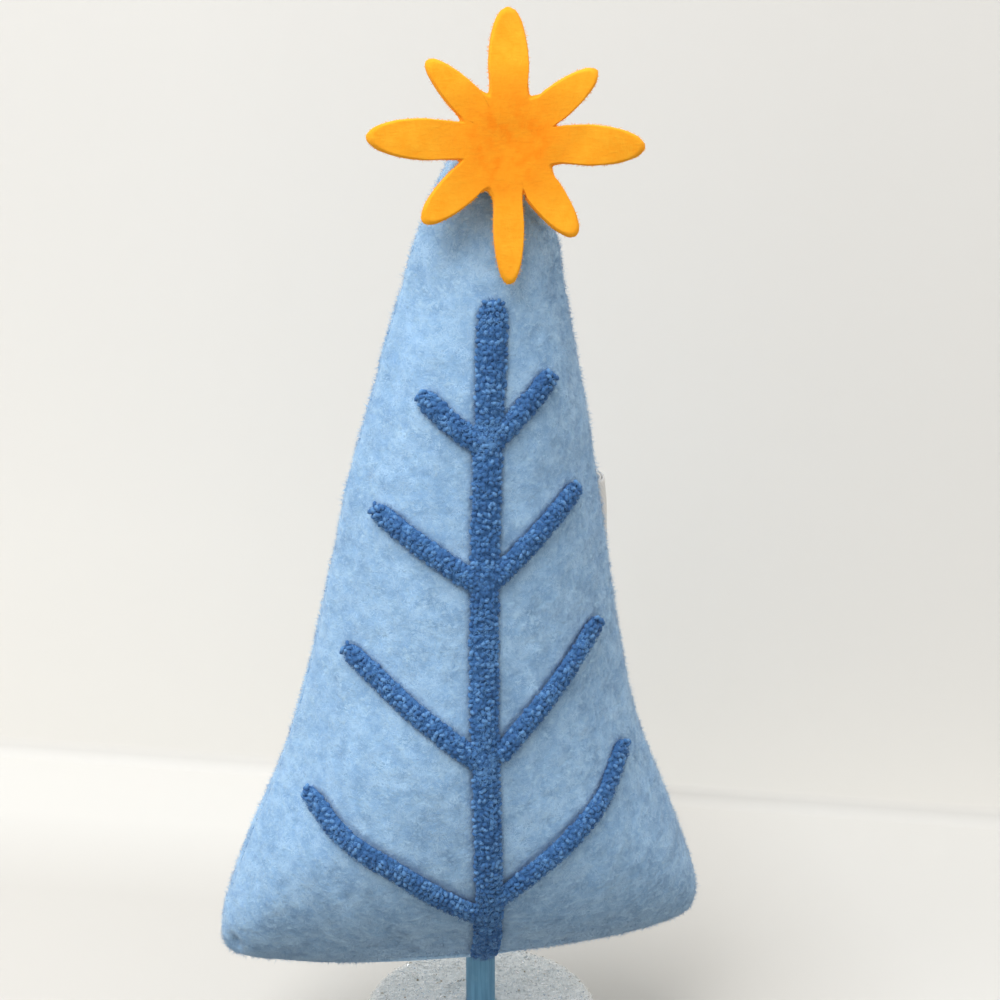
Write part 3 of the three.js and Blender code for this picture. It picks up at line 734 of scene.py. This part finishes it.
def ridge_line(course):
    """Points (x, h) along a course at even steps: a centripetal spline with mirrored end knots."""
    share, up = np.array(course, float).T
    h = up * BODY_HEIGHT
    knots = points_at(centre_x(h) + half_width(h) * share, h)
    knots = np.concatenate([[2 * knots[0] - knots[1]], knots, [2 * knots[-1] - knots[-2]]])
    t = running_sums(np.sqrt(step_lengths(knots)))

    def mixed(k, low, high, first, last):
        return (t[high] - k) / (t[high] - t[low]) * first + (k - t[low]) / (t[high] - t[low]) * last

    drawn = []
    for i in range(1, len(knots) - 2):
        k = np.linspace(t[i], t[i + 1], 200)[:, None]
        a = [mixed(k, n, n + 1, knots[n], knots[n + 1]) for n in (i - 1, i, i + 1)]
        b = [mixed(k, n, n + 2, *pair) for n, pair in zip((i - 1, i), (a[:2], a[1:]))]
        drawn.append(mixed(k, i, i + 1, *b))
    line = np.concatenate(drawn)
    gone = running_sums(step_lengths(line))
    return along_line(line, gone, np.linspace(0, gone[-1], int(gone[-1] / LINE_STEP) + 1))


def branch_line(course):
    """Course of a branch with its root carried straight back, so that its loops meet the spine's."""
    line = ridge_line(course)
    back = np.arange(int(ROOT_REACH / LINE_STEP), 0, -1)[:, None]
    return np.concatenate([line[0] - back * (line[1] - line[0]), line])


RIDGES = {"spine_ridge": (ridge_line(SPINE), SPINE_HALF_WIDTH)}
for name, course in BRANCHES.items():
    RIDGES[f"branch_ridge_{name}"] = branch_line(course), BRANCH_HALF_WIDTH


def beside_ridges(points):
    """Distance of points from the edge of the nearest ridge, seen from the front; negative under a ridge."""
    x, h = points[..., 0].ravel(), points[..., 2].ravel() - BODY_BOTTOM
    flat = points_at(x, h + seam_sag(x, h + seam_sag(x, h)))
    nearest = np.full(len(flat), 1e9)
    for line, half in RIDGES.values():
        ends = int(half / LINE_STEP)
        span = np.linalg.norm(flat[:, None] - line[None, ends:-ends:4], axis=-1).min(1)
        nearest = np.minimum(nearest, span - half)
    return nearest.reshape(points.shape[:-1])


# Fleece cover


def corner_pinch(grid):
    """Depth of the small pinch at the left bottom corner: a slanting bell that is longer than it is wide."""
    across = grid[..., 0] - centre_x(0.0) + PINCH_SHARE * half_width(PINCH_HEIGHT)
    up = grid[..., 2] - BODY_BOTTOM - PINCH_HEIGHT
    return PINCH_DEPTH * np.exp(-((across + 0.3 * up) ** 2) / 0.7 - up**2 / 4)


def sew_panel(side, columns=151, rows=241):
    """Outside of one fleece panel: the stuffed cover with soft lumps, drawn in along the side seams.

    The front sinks under the ridges and at the pinch."""
    u, v = np.meshgrid(np.linspace(-1, 1, columns) * -side, np.linspace(0, 1, rows))
    grid = cover_point(side, u, v)
    normals = grid_normals(grid)
    seam = 1 - smooth((1 - np.abs(u)) / 0.05)
    lumps = layered_noise(grid, COVER_LUMPS)
    sunk = RIDGE_SINK * smooth(-beside_ridges(grid)) + corner_pinch(grid) if side < 0 else 0
    return grid + normals * (lumps * (1 - seam) - SEAM_TUCK * seam - sunk)[..., None]


def turned_in(grid):
    """Panel with its edges turned in: strips along both side seams and a hem along the base seam."""
    sign = np.sign(grid[..., 1].mean())
    middle = grid[:, [grid.shape[1] // 2], 0]

    def strip(edge):
        room = np.abs(edge[:, None, 0] - middle)
        inward = np.sign(middle - edge[:, None, 0]) * np.minimum(TURN_STEPS, TURN_SHARE * room)
        flat = np.broadcast_to(edge[:, None, :], (len(edge), len(TURN_STEPS), 3)).copy()
        flat[..., 0] += inward
        flat[..., 1] = sign * GAP / 2
        return flat

    sheet = np.concatenate([strip(grid[:, 0])[:, ::-1], grid, strip(grid[:, -1])], axis=1)
    foot = sheet[0]
    hem = np.stack([foot, foot])
    hem[..., 1] -= sign * np.minimum(np.abs(foot[:, 1]) * 0.5, np.array(HEM_DEPTHS)[:, None])
    hem[..., 2] += np.array(HEM_HEIGHTS)[:, None]
    return np.concatenate([hem, sheet])


def nap(name, grid, count, seed, finishes, slot, length=NAP_LENGTH, beside=False):
    """Loose fibres of the nap: roots spread evenly by area over a grid, each leaning by a soft noise.

    A fibre is a flat sliver from its root to its tip, lit as the cloth under it; its tone is one of three.
    beside leaves out the fibres that a ridge covers."""
    rng = np.random.default_rng(seed)
    cells = quad_corners(grid)
    area = np.linalg.norm(np.cross(cells[2] - cells[0], cells[3] - cells[1]), axis=-1)
    chosen = rng.choice(len(area), count, p=area / area.sum())
    a, b = rng.random((2, count, 1))
    shares = (1 - a) * (1 - b), a * (1 - b), a * b, (1 - a) * b
    root = sum(k * cell[chosen] for k, cell in zip(shares, cells))
    normal = unit(sum(k * cell[chosen] for k, cell in zip(shares, quad_corners(grid_normals(grid)))))
    if beside:
        stays = beside_ridges(root) >= -0.5
        root, normal = root[stays], normal[stays]
    n = len(root)
    aside = unit(np.cross(normal, rng.normal(size=(n, 3)) * 0.5 + (0.3, 0.1, 1)))
    turn = 5 * soft_noise(root, 2.6, seed + 1) + rng.normal(size=n) * 1.1
    lean = aside * np.cos(turn)[:, None] + np.cross(normal, aside) * np.sin(turn)[:, None]
    tall = length * (0.55 + 0.75 * rng.random((n, 1))) * (1 + 0.35 * soft_noise(root, 3.4, seed + 2)[:, None])
    stands = rng.random((n, 1)) < STANDING_SHARE
    rise = np.where(stands, 0.4 + 0.4 * rng.random((n, 1)), 0.1 + 0.35 * rng.random((n, 1)) ** 2)
    tip = root + tall * (rise * normal + 0.85 * lean)
    across = np.where(stands, 0.4, 1) * NAP_WIDTH / 2 * np.cross(normal, lean)
    slivers = np.stack([root + across, root - across, tip], axis=1).reshape(-1, 3)
    points = slivers + np.repeat(0.08 * normal, 3, axis=0)
    faces = [np.arange(3 * n).reshape(n, 3)]
    # random tone and painted light: fibres in the clumps take the paler tone, and fibres between them the
    # deeper one
    clump_tone_and_light = layered_noise(root, NAP_CLUMPS) + rng.normal(size=n) * 0.25
    pick = np.select([clump_tone_and_light > 0.3, clump_tone_and_light < -0.35], [1, 2], 0)
    tuft = points_at(*(soft_noise(root, 2.0, 205 + k) for k in range(3)))
    lit = np.repeat(unit(normal + 0.25 * tuft), 3, axis=0)
    write_piece(name, points, faces, finishes, slot, which=pick, shading=lit).visible_shadow = False


def base_panel_grid(columns=160, rows=14):
    """Lens-shaped base panel: rays from the trunk's hole to its outline, bulging, and a turned-up rim."""
    s = np.sin(np.linspace(-1, 1, 400) * np.pi / 2)
    wide = half_width(0.0) - 2.4
    edge = lens(s, BASE_DEPTH - 2.0, 0.0)
    front = edge + np.maximum(0.6 * foot_roll(s, 0.0), -ROLL_LIMIT * edge)
    across = centre_x(0.0) + wide * np.concatenate([s, -s])
    outline = points_at(across, np.concatenate([-front, edge]))
    angles = np.unwrap(np.arctan2(outline[:, 1], outline[:, 0]))
    ray = np.linspace(angles[0], angles[0] + 2 * np.pi, columns, endpoint=False)
    reach = np.interp(ray, angles, np.linalg.norm(outline, axis=1))
    r = np.linspace(0, 1, rows)[:, None]
    radius = (DOWEL_RADIUS + 0.2) * (1 - r) + reach * r
    x, y = radius * np.cos(ray), radius * np.sin(ray)
    roll = foot_roll((x - centre_x(0.0)) / half_width(0.0), 0.0) * smooth(-y / 3)
    z = BODY_BOTTOM + 0.7 - 0.9 * np.sin(np.pi * r) - seam_sag(x, 0.0) + ROLL_DROP * np.minimum(roll, 0)
    rim = points_at(x[-1], y[-1], z[-1] + RIM_HEIGHT)
    return np.concatenate([points_at(x, y, z), rim[None]])


fleece = fleece_finish()
NAP_TONES = fibre_tones("fleece_fibre", FLEECE_BODY, FLEECE_PALE, FLEECE_DEEP, 0.25)
front_grid = sew_panel(-1)
back_grid = sew_panel(1)
base_grid = base_panel_grid()


def write_panel(name, grid, node, joined=False):
    """One fleece panel with its wall, standing for its solid."""
    panel = write_piece(name, *open_sheet(grid, joined), [fleece], "fleece", [node])
    add_wall(panel, COVER_WALL, -1)


write_panel("fleece_front", turned_in(front_grid), "front_panel")
write_panel("fleece_back", turned_in(back_grid), "back_panel")
write_panel("fleece_base", base_grid[:, ::-1], "base_panel", True)

for seed, layer in ((100, "under"), (110, "over")):
    nap(f"fleece_front_nap_{layer}", front_grid, NAP_COUNT, seed, NAP_TONES, "fleece", beside=True)
    nap(f"fleece_back_nap_{layer}", back_grid, NAP_COUNT, seed + 5, NAP_TONES, "fleece")
nap("fleece_base_nap", base_grid[:-1, ::-1], BASE_NAP_COUNT, 120, NAP_TONES, "fleece")


def fill_body(rows=60, around=72):
    """Fibre stuffing: lens sections inside the cover, lumped by noise, turned in to line the trunk's bore."""
    h = np.linspace(RIM_HEIGHT + 1, BODY_HEIGHT - 0.6 * TIP_LENGTH, rows)[::-1, None]
    turn = circle(around)
    s = np.cos(turn)
    wide = half_width(h) - np.minimum(SEAM_ALLOWANCE, TURN_SHARE * half_width(h)) - 1.2
    share = s * wide / half_width(h)
    deep = lens(share, half_depth(h) - FLEECE - 1.6, h)
    deep = deep + np.clip(foot_roll(share, h), -ROLL_LIMIT * deep, 0) * (np.sin(turn) > 0)
    y = -np.sign(np.sin(turn)) * deep * np.abs(np.sin(turn)) ** 0.35
    outside = body_point(centre_x(h) + wide * s, y, h)
    outside = outside + 0.8 * soft_noise(outside, 9, 21)[..., None] * unit(outside * (1, 1, 0))
    z = np.linspace(BODY_BOTTOM + RIM_HEIGHT, DOWEL_TOP + 1, 30)[:, None]
    radius = DOWEL_RADIUS + 0.4
    bore = points_at(radius * np.cos(turn), -radius * np.sin(turn), z)
    tube = closed_tube(np.concatenate([outside, bore])[::-1])
    piece = write_piece("fibre_stuffing", *tube, [stuffing_finish()], "stuffing", ["stuffing"])


fill_body()

# Looped-yarn ridges

YARN_TONES = fibre_tones("yarn_loop", YARN_BODY, YARN_PALE, YARN_DEEP, 0.15)
yarn_ground = yarn_ground_finish()


def ridge_ground(node, line, half):
    """Packed yarn with fuzz, under the loops: an oval section along the course, rounded off at its tip."""
    along = unit(np.gradient(line, axis=0))
    gone = np.arange(len(line)) * np.linalg.norm(line[1] - line[0])
    k = 1 - np.clip((gone[-1] - gone) / half, 0, 1)
    share = np.maximum(np.sqrt(1 - k * k), 0.15)[:, None]
    turn = circle(18)
    d = 0.74 * half * share * np.cos(turn)
    lift = -0.3 + 0.72 * RIDGE_HEIGHT * (0.5 + 0.5 * np.sin(turn)) * (0.4 + 0.6 * share)
    point, normal = front_frame(line[:, :1] + along[:, 1:] * d, line[:, 1:] - along[:, :1] * d)
    grid = point + normal * lift[..., None]
    grid = grid + normal * 0.25 * soft_noise(grid, 1.3, 31)[..., None]
    write_piece(f"{node}_ground", *closed_tube(grid[:, ::-1]), [yarn_ground], "yarn", [node])
    grid = grid + normal * (0.25 + 0.25 * np.sin(turn))[:, None]
    fuzz = np.concatenate([grid, grid[:, :1]], axis=1)[:, ::-1]
    count = int(gone[-1] * half * FUZZ_DENSITY)
    nap(f"{node}_fuzz", fuzz, count, 300 + len(line), YARN_TONES, "yarn", length=FUZZ_LENGTH)


def ridge_loops(node, line, half, seed):
    """Small uncut loops: half rings of yarn in jittered rows across the ridge, square to its oval top."""
    rng = np.random.default_rng(seed)
    long = step_lengths(line).sum()
    rows, columns = int(long / LOOP_ROW_STEP), round(2 * half / LOOP_COLUMN_STEP)
    share = (np.arange(rows)[:, None] + 0.5 + rng.uniform(-0.35, 0.35, (rows, columns))) / rows
    across = (np.arange(columns) + 0.5 + rng.uniform(-0.3, 0.3, (rows, columns))) / columns * 2 - 1
    across = across * np.clip(0.55 + 0.45 * (1 - share) * long / half, 0, 1)
    numbers = np.arange(len(line))
    middle = along_line(line, numbers, share * numbers[-1])
    along = unit(along_line(np.gradient(line, axis=0), numbers, share * numbers[-1]))
    d = across * (half - 0.6)
    point, normal = front_frame(middle[..., 0] + along[..., 1] * d, middle[..., 1] - along[..., 0] * d)
    sidewards = points_at(along[..., 1], 0, -along[..., 0])
    q = 0.95 * across[..., None]
    out = unit(normal * np.sqrt(1 - q * q) + sidewards * q)
    point = point + normal * (0.68 * RIDGE_HEIGHT * np.sqrt(1 - across**2 * 0.95) - 0.1)[..., None]
    point, out = point.reshape(-1, 3), out.reshape(-1, 3)
    count = len(point)
    lie = unit(np.cross(out, rng.normal(size=(count, 3))))
    third = np.cross(out, lie)
    size = LOOP_RADIUS * rng.uniform(0.8, 1.2, (count, 1, 1))
    bends, sides = 8, 5
    t = np.linspace(-0.25, np.pi + 0.25, bends)[None, :, None]
    outward = lie[:, None] * np.cos(t) + out[:, None] * np.sin(t)
    middle = point[:, None] + size * (outward - 0.25 * np.sin(t) * out[:, None] - 0.2 * out[:, None])
    ring = circle(sides)[:, None]
    offsets = outward[:, :, None] * np.cos(ring) + third[:, None, None] * np.sin(ring)
    tube = middle[:, :, None] + YARN_RADIUS * offsets
    quads = grid_quads(bends, sides, True)
    faces = [(np.arange(count)[:, None, None] * bends * sides + quads).reshape(-1, 4)]
    pick = np.repeat(rng.choice(3, count, p=[0.45, 0.25, 0.3]), len(quads))
    write_piece(f"{node}_loops", tube.reshape(-1, 3), faces, YARN_TONES, "yarn", which=pick)


for seed, (node, (line, half)) in enumerate(RIDGES.items()):
    ridge_ground(node, line, half)
    ridge_loops(node, line, half, 40 + seed)


# Felt star and its glue

GLUE_LEVEL = BODY_HEIGHT - GLUE_BELOW_TIP
HUB_REACH = half_depth(np.array(GLUE_LEVEL)) + GAP / 2 + GLUE_THICKNESS + FELT / 2
STAR_CENTRE = np.array([
    centre_x(BODY_HEIGHT) + STAR_ASIDE,
    (GLUE_BELOW_TIP - STAR_BELOW_TIP) * math.tan(STAR_TILT) - HUB_REACH,
    BODY_BOTTOM + BODY_HEIGHT - STAR_BELOW_TIP,
])


def star_outline(count=880):
    """Cut edge of the star at even steps: rays of two flanks and a half-ellipse, with notches between."""
    angles = np.radians(RAY_DEGREES)
    following = np.append(angles[1:], angles[0] - 2 * np.pi)
    reach = np.where(np.arange(8) % 2 == 0, LONG_RAY, SHORT_RAY) * RAY_LENGTH_SHARES - RAY_TIP
    half = RAY_HALF_WIDTH * np.array(RAY_WIDTH_SHARES)
    bow = np.linspace(-np.pi / 2, np.pi / 2, 60)
    foot = np.full((8, 1), NOTCH_RADIUS + 1.4)
    along = np.concatenate([foot, reach[:, None] + RAY_TIP * np.cos(bow), foot], axis=1)
    flank = 0.93 * half[:, None]
    across = np.concatenate([flank, -half[:, None] * np.sin(bow), -flank], axis=1)
    cos, sin = np.cos(angles)[:, None], np.sin(angles)[:, None]
    rays = points_at(along * cos - across * sin, along * sin + across * cos)
    between = (angles + following)[:, None] / 2
    notches = NOTCH_RADIUS * points_at(np.cos(between), np.sin(between))
    edge = np.concatenate([rays, notches], axis=1).reshape(-1, 2)
    ring = np.concatenate([edge, edge[:1]])
    gone = running_sums(step_lengths(ring))
    line = along_line(ring, gone, np.linspace(0, gone[-1], count, endpoint=False))
    return sum(np.roll(line, n, axis=0) for n in range(-2, 3)) / 5


def star_place(flat, out):
    """Star point (across, up) lifted out of its plane: top bent back, lower rays forward, all tilted back."""
    up = flat[..., 1]
    away = out + LOWER_BEND * smooth((-up - 8) / 16) - TOP_BEND * smooth((up - 8) / 17)
    y = up * math.sin(STAR_TILT) - away * math.cos(STAR_TILT)
    z = up * math.cos(STAR_TILT) + away * math.sin(STAR_TILT)
    return points_at(flat[..., 0], y, z) + STAR_CENTRE


def cut_star():
    """Felt star: its outline shrunk row by row to the hub on both faces, with a frayed edge between."""
    outline = star_outline()
    far = np.linalg.norm(outline, axis=1)
    shares = 1 - np.linspace(0.985, 0, 30) ** 1.35
    flat = outline * shares[:, None, None]
    from_edge = far * (1 - shares[:, None])
    rounding = 0.45 * smooth(1 - from_edge / 0.8)
    pressed = 0.25 * smooth(1 - far * shares[:, None] / 7)
    front = star_place(flat, FELT / 2 - rounding + 0.16 * flat_noise(flat, 4.5, 51) - pressed)
    rear = star_place(flat, -FELT / 2 + rounding + 0.16 * flat_noise(flat, 4.5, 52))
    depth = np.linspace(0.5, -0.5, 6)[1:-1, None] * (FELT - 0.9)
    frayed = outline * (1 + (0.16 + 0.12 * flat_noise(outline, 0.9, 53)) / far)[:, None]
    edge = star_place(frayed, depth)
    tube = closed_tube(np.concatenate([front, edge, rear[::-1]]))
    write_piece("felt_star", *tube, [felt_finish()], "felt", ["star"])
    fray_star(outline)


def fray_star(outline, count=1800):
    """Loose fibres at the cut edge: strips outwards from the outline, bent once and drawn to a tip."""
    rng = np.random.default_rng(54)
    pick = rng.integers(0, len(outline), count)
    normal = unit(np.roll(outline, -1, axis=0) - np.roll(outline, 1, axis=0))[:, ::-1] * (-1, 1)
    root = outline[pick]
    heading = unit(normal[pick] + rng.normal(size=(count, 2)) * 0.6)
    long = rng.uniform(0.15, 0.45, (count, 1))
    level = rng.uniform(-0.45, 0.45, count) * FELT
    start = star_place(root, level)
    bend = star_place(root + 0.6 * long * heading, level + rng.normal(size=count) * 0.15)
    ends = root + long * heading + rng.normal(size=(count, 2)) * 0.15
    tip = star_place(ends, level + rng.normal(size=count) * 0.3)
    thick = np.array([0.0, 0.0, 0.04])
    strip = np.stack([start - thick, start + thick, bend + thick, bend - thick, tip], 1).reshape(-1, 3)
    first = 5 * np.arange(count)[:, None]
    faces = [first + [0, 1, 2, 3], first + [3, 2, 4]]
    fringe = [fibre_finish("felt_fibre", tone(255, 190, 72), 0.06)]
    write_piece("felt_star_edge_fibres", strip, faces, fringe, "felt").visible_shadow = False


cut_star()
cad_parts["star_glue_pad"].data.materials.clear()
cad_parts["star_glue_pad"].data.materials.append(glue_finish())


# Bare ribbon label


def seam_x(h):
    """Right side seam at a height."""
    return centre_x(h) + half_width(h)


def fold_label(up_steps=24):
    """Ribbon folded double: out of the seam along one side of a bent course, round its end and back."""
    seam = seam_x(np.array(LABEL_LOW + LABEL_HEIGHT))
    outer = seam + LABEL_REACH
    knots = np.array([
        (seam - LABEL_TAIL, 0),
        (seam + 0.2, 0),
        (outer - 0.5, 0.25 * LABEL_TURN),
        (outer, 0.6 * LABEL_TURN),
        (outer - 0.3, LABEL_TURN),
    ])
    course = along_line(knots, np.arange(5), np.linspace(0, 1, 40) * 4)
    padded = np.pad(course, ((4, 4), (0, 0)), "edge")
    course = np.stack([np.convolve(padded[:, n], np.ones(9) / 9, "valid") for n in (0, 1)], -1)
    tangent = unit(np.gradient(course, axis=0))
    half = (GAP + RIBBON) / 2
    aside = half * points_at(-tangent[:, 1], tangent[:, 0])
    bend = np.linspace(-np.pi / 2, np.pi / 2, 9)[1:-1, None]
    fold = course[-1] + half * (np.cos(bend) * tangent[-1] + np.sin(bend) * unit(aside[-1]))
    path = np.concatenate([course - aside, fold, (course + aside)[::-1]])
    h = LABEL_LOW + np.linspace(0, LABEL_HEIGHT, up_steps)[:, None]
    free = np.clip((path[:, 0] - seam) / LABEL_REACH, 0, 1)
    x = path[:, 0] + (seam_x(h) - seam) * (1 - LABEL_STAND * free)
    wave = 0.12 * np.sin(h / 2.1 + 1.3 * free) * free
    grid = points_at(x + wave, path[:, 1], BODY_BOTTOM + h)
    label = write_piece("bare_label", *open_sheet(grid), [ribbon_finish()], "ribbon", ["care_label"])
    add_wall(label, RIBBON, 0)


fold_label()


# Trunk and base


def turn_piece(profile, around):
    """Profile of (radius, height) points carried round the trunk's axis, as closed rows."""
    turn = circle(around)
    r, z = profile[:, :1], profile[:, 1:]
    return points_at(r * np.cos(turn), r * np.sin(turn), z)


def turn_trunk():
    """Dowel: straight sides with small chamfers, its radius uneven by a few hundredths."""
    low = SOCKET_FLOOR + GAP
    chamfer = 0.12 * DOWEL_RADIUS
    flat = DOWEL_RADIUS - chamfer
    heights = np.linspace(low + chamfer, DOWEL_TOP - chamfer, 150)
    sides = points_at(DOWEL_RADIUS, heights)
    profile = np.concatenate([[(0.4, low), (flat, low)], sides, [(flat, DOWEL_TOP), (0.4, DOWEL_TOP)]])
    grid = turn_piece(profile, 56)
    grid[..., :2] *= 1 + 0.008 * soft_noise(grid * (1, 1, 0.2), 3, 61)[..., None]
    write_piece("painted_trunk", *closed_tube(grid), [paint_finish()], "paint", ["trunk_dowel"])


def base_profile():
    """Half section of the disc: from the underside's middle round the edge and over into the socket."""
    foot = np.linspace(0, np.pi / 2, 6)
    shoulder = BASE_HEIGHT - 0.1 * BASE_EDGE
    inset = BASE_RADIUS - BASE_FOOT
    edge = np.array([
        (BASE_RADIUS, BASE_HEIGHT - 1.2 * BASE_EDGE),
        (BASE_RADIUS, shoulder),
        (BASE_RADIUS - BASE_EDGE, shoulder),
    ])
    t = np.linspace(0, 1, 12)[:, None]
    socket = DOWEL_RADIUS + GAP

    def run(r_start, r_end, z_start, z_end, count):
        return points_at(np.linspace(r_start, r_end, count), np.linspace(z_start, z_end, count))

    return np.concatenate([
        run(0.5, inset - 0.5, 0, 0, 8),
        points_at(inset + BASE_FOOT * np.sin(foot), BASE_FOOT - BASE_FOOT * np.cos(foot)),
        run(BASE_RADIUS, BASE_RADIUS, BASE_FOOT + 0.5, edge[0, 1] - 0.4, 12),
        (1 - t) ** 2 * edge[0] + 2 * t * (1 - t) * edge[1] + t * t * edge[2],
        run(BASE_RADIUS - BASE_EDGE - 0.5, socket, shoulder, BASE_HEIGHT, 30),
        run(socket, socket, BASE_HEIGHT - 1, SOCKET_FLOOR, 5),
        [(0.5, SOCKET_FLOOR)],
    ])


def coat_base():
    """Glittered disc: the turned profile with a grainy coat on its top and side, its underside left flat."""
    disc = turn_piece(base_profile(), 220)
    normals = -grid_normals(np.concatenate([disc, disc[:, :1]], axis=1))[:, :-1]
    normals = normals * np.sign((normals * (disc - (0, 0, 6))).sum(-1, keepdims=True))
    coated = smooth(disc[..., 2] / 1.5) * (np.hypot(disc[..., 0], disc[..., 1]) > DOWEL_RADIUS + GAP + 0.3)
    grid = disc + normals * (coated * layered_noise(disc, COAT_GRAINS))[..., None]
    write_piece("glittered_base", *closed_tube(grid), [snow_finish()], "snow", ["base_mound"])
    glittered = slice(16, 64)
    strew_glitter(disc[glittered], grid[glittered], normals[glittered])


def strew_glitter(disc, coat, normals, count=6000, corners=6):
    """Glitter: six-cornered flakes spread by area over rows of the coat, lying loosely along it."""
    rng = np.random.default_rng(73)
    rim = disc[:, :1]
    area = np.hypot(rim[:-1, :, 0], rim[:-1, :, 1]) * step_lengths(rim)
    row = rng.choice(len(area), count, p=(area / area.sum()).ravel())
    column = rng.integers(0, disc.shape[1], count)
    a = rng.random((count, 1))
    where = coat[row, column] * (1 - a) + coat[row + 1, column] * a
    where[:, :2] += rng.uniform(-0.3, 0.3, (count, 2))
    facing = unit(normals[row, column] + rng.normal(size=(count, 3)) * 0.5)
    lie = unit(np.cross(facing, rng.normal(size=(count, 3))))
    turn = circle(corners)[:, None]
    size = rng.uniform(0.12, 0.3, (count, 1, 1))
    spokes = lie[:, None] * np.cos(turn) + np.cross(facing, lie)[:, None] * np.sin(turn)
    flake = (where + 0.14 * facing)[:, None] + size * spokes
    faces = np.arange(count)[:, None] * corners + np.arange(corners)
    tones = [
        flake_finish("flake_white", tone(246, 248, 248), 0.0, 0.25),
        flake_finish("flake_silver", tone(246, 248, 250), 0.45, 0.16),
        flake_finish("flake_tan", tone(150, 132, 104), 0.0, 0.5),
    ]
    pick = rng.choice(3, count, p=[0.68, 0.31, 0.01])
    write_piece("base_glitter", flake.reshape(-1, 3), [faces], tones, "snow", which=pick)


turn_trunk()
coat_base()


# Stage, light and camera


def lay_backdrop():
    """Sheet of paper: a profile of floor, quarter-round and wall, drawn across, square to its heading."""
    bend = WALL_BEND
    turn = np.linspace(0, np.pi / 2, 13)
    reach = SHEET_REACH * np.linspace(0, 1, 31)[1:] ** 4
    away = WALL_BEHIND - bend + np.concatenate([-reach[::-1], bend * np.sin(turn), np.full(30, bend)])
    up = np.concatenate([np.zeros(30), bend * (1 - np.cos(turn)), bend + reach])
    across = np.linspace(-SHEET_REACH, SHEET_REACH, 31)
    x = across * math.cos(WALL_HEADING) - away[:, None] * math.sin(WALL_HEADING)
    y = across * math.sin(WALL_HEADING) + away[:, None] * math.cos(WALL_HEADING)
    sheet = open_sheet(points_at(x, y, up[:, None]))
    write_piece("backdrop", *sheet, [backdrop_finish()], None)


def hold(name, data, spot):
    """Object for a lamp or a camera at a spot in millimetres."""
    holder = bpy.data.objects.new(name, data)
    bpy.context.scene.collection.objects.link(holder)
    holder.location = [v * MM for v in spot]
    return holder


def set_light():
    """One large square soft window, turned to the figurine, and even pale light from all round."""
    lamp = bpy.data.lights.new("window", "AREA")
    lamp.shape = "SQUARE"
    lamp.size = WINDOW_SIZE * MM
    lamp.energy = WINDOW_POWER
    holder = hold("window", lamp, WINDOW_PLACE)
    heading = holder.location - Vector([v * MM for v in WINDOW_AIM])
    holder.rotation_euler = heading.to_track_quat("Z", "Y").to_euler()
    world = bpy.data.worlds.new("studio")
    bpy.context.scene.world = world
    world.use_nodes = True
    sky = world.node_tree.nodes["Background"].inputs
    sky["Color"].default_value = SKY_COLOUR
    sky["Strength"].default_value = SKY_STRENGTH


def set_camera():
    """Camera at the photograph's place, height and field of view."""
    camera = bpy.data.cameras.new("camera")
    camera.sensor_width = CAMERA_SENSOR
    camera.lens = CAMERA_LENS
    holder = hold("camera", camera, CAMERA_PLACE)
    holder.rotation_euler = (CAMERA_PITCH, 0, CAMERA_HEADING)
    bpy.context.scene.camera = holder


lay_backdrop()
set_light()
set_camera()
bpy.context.scene.view_settings.view_transform = "Standard"
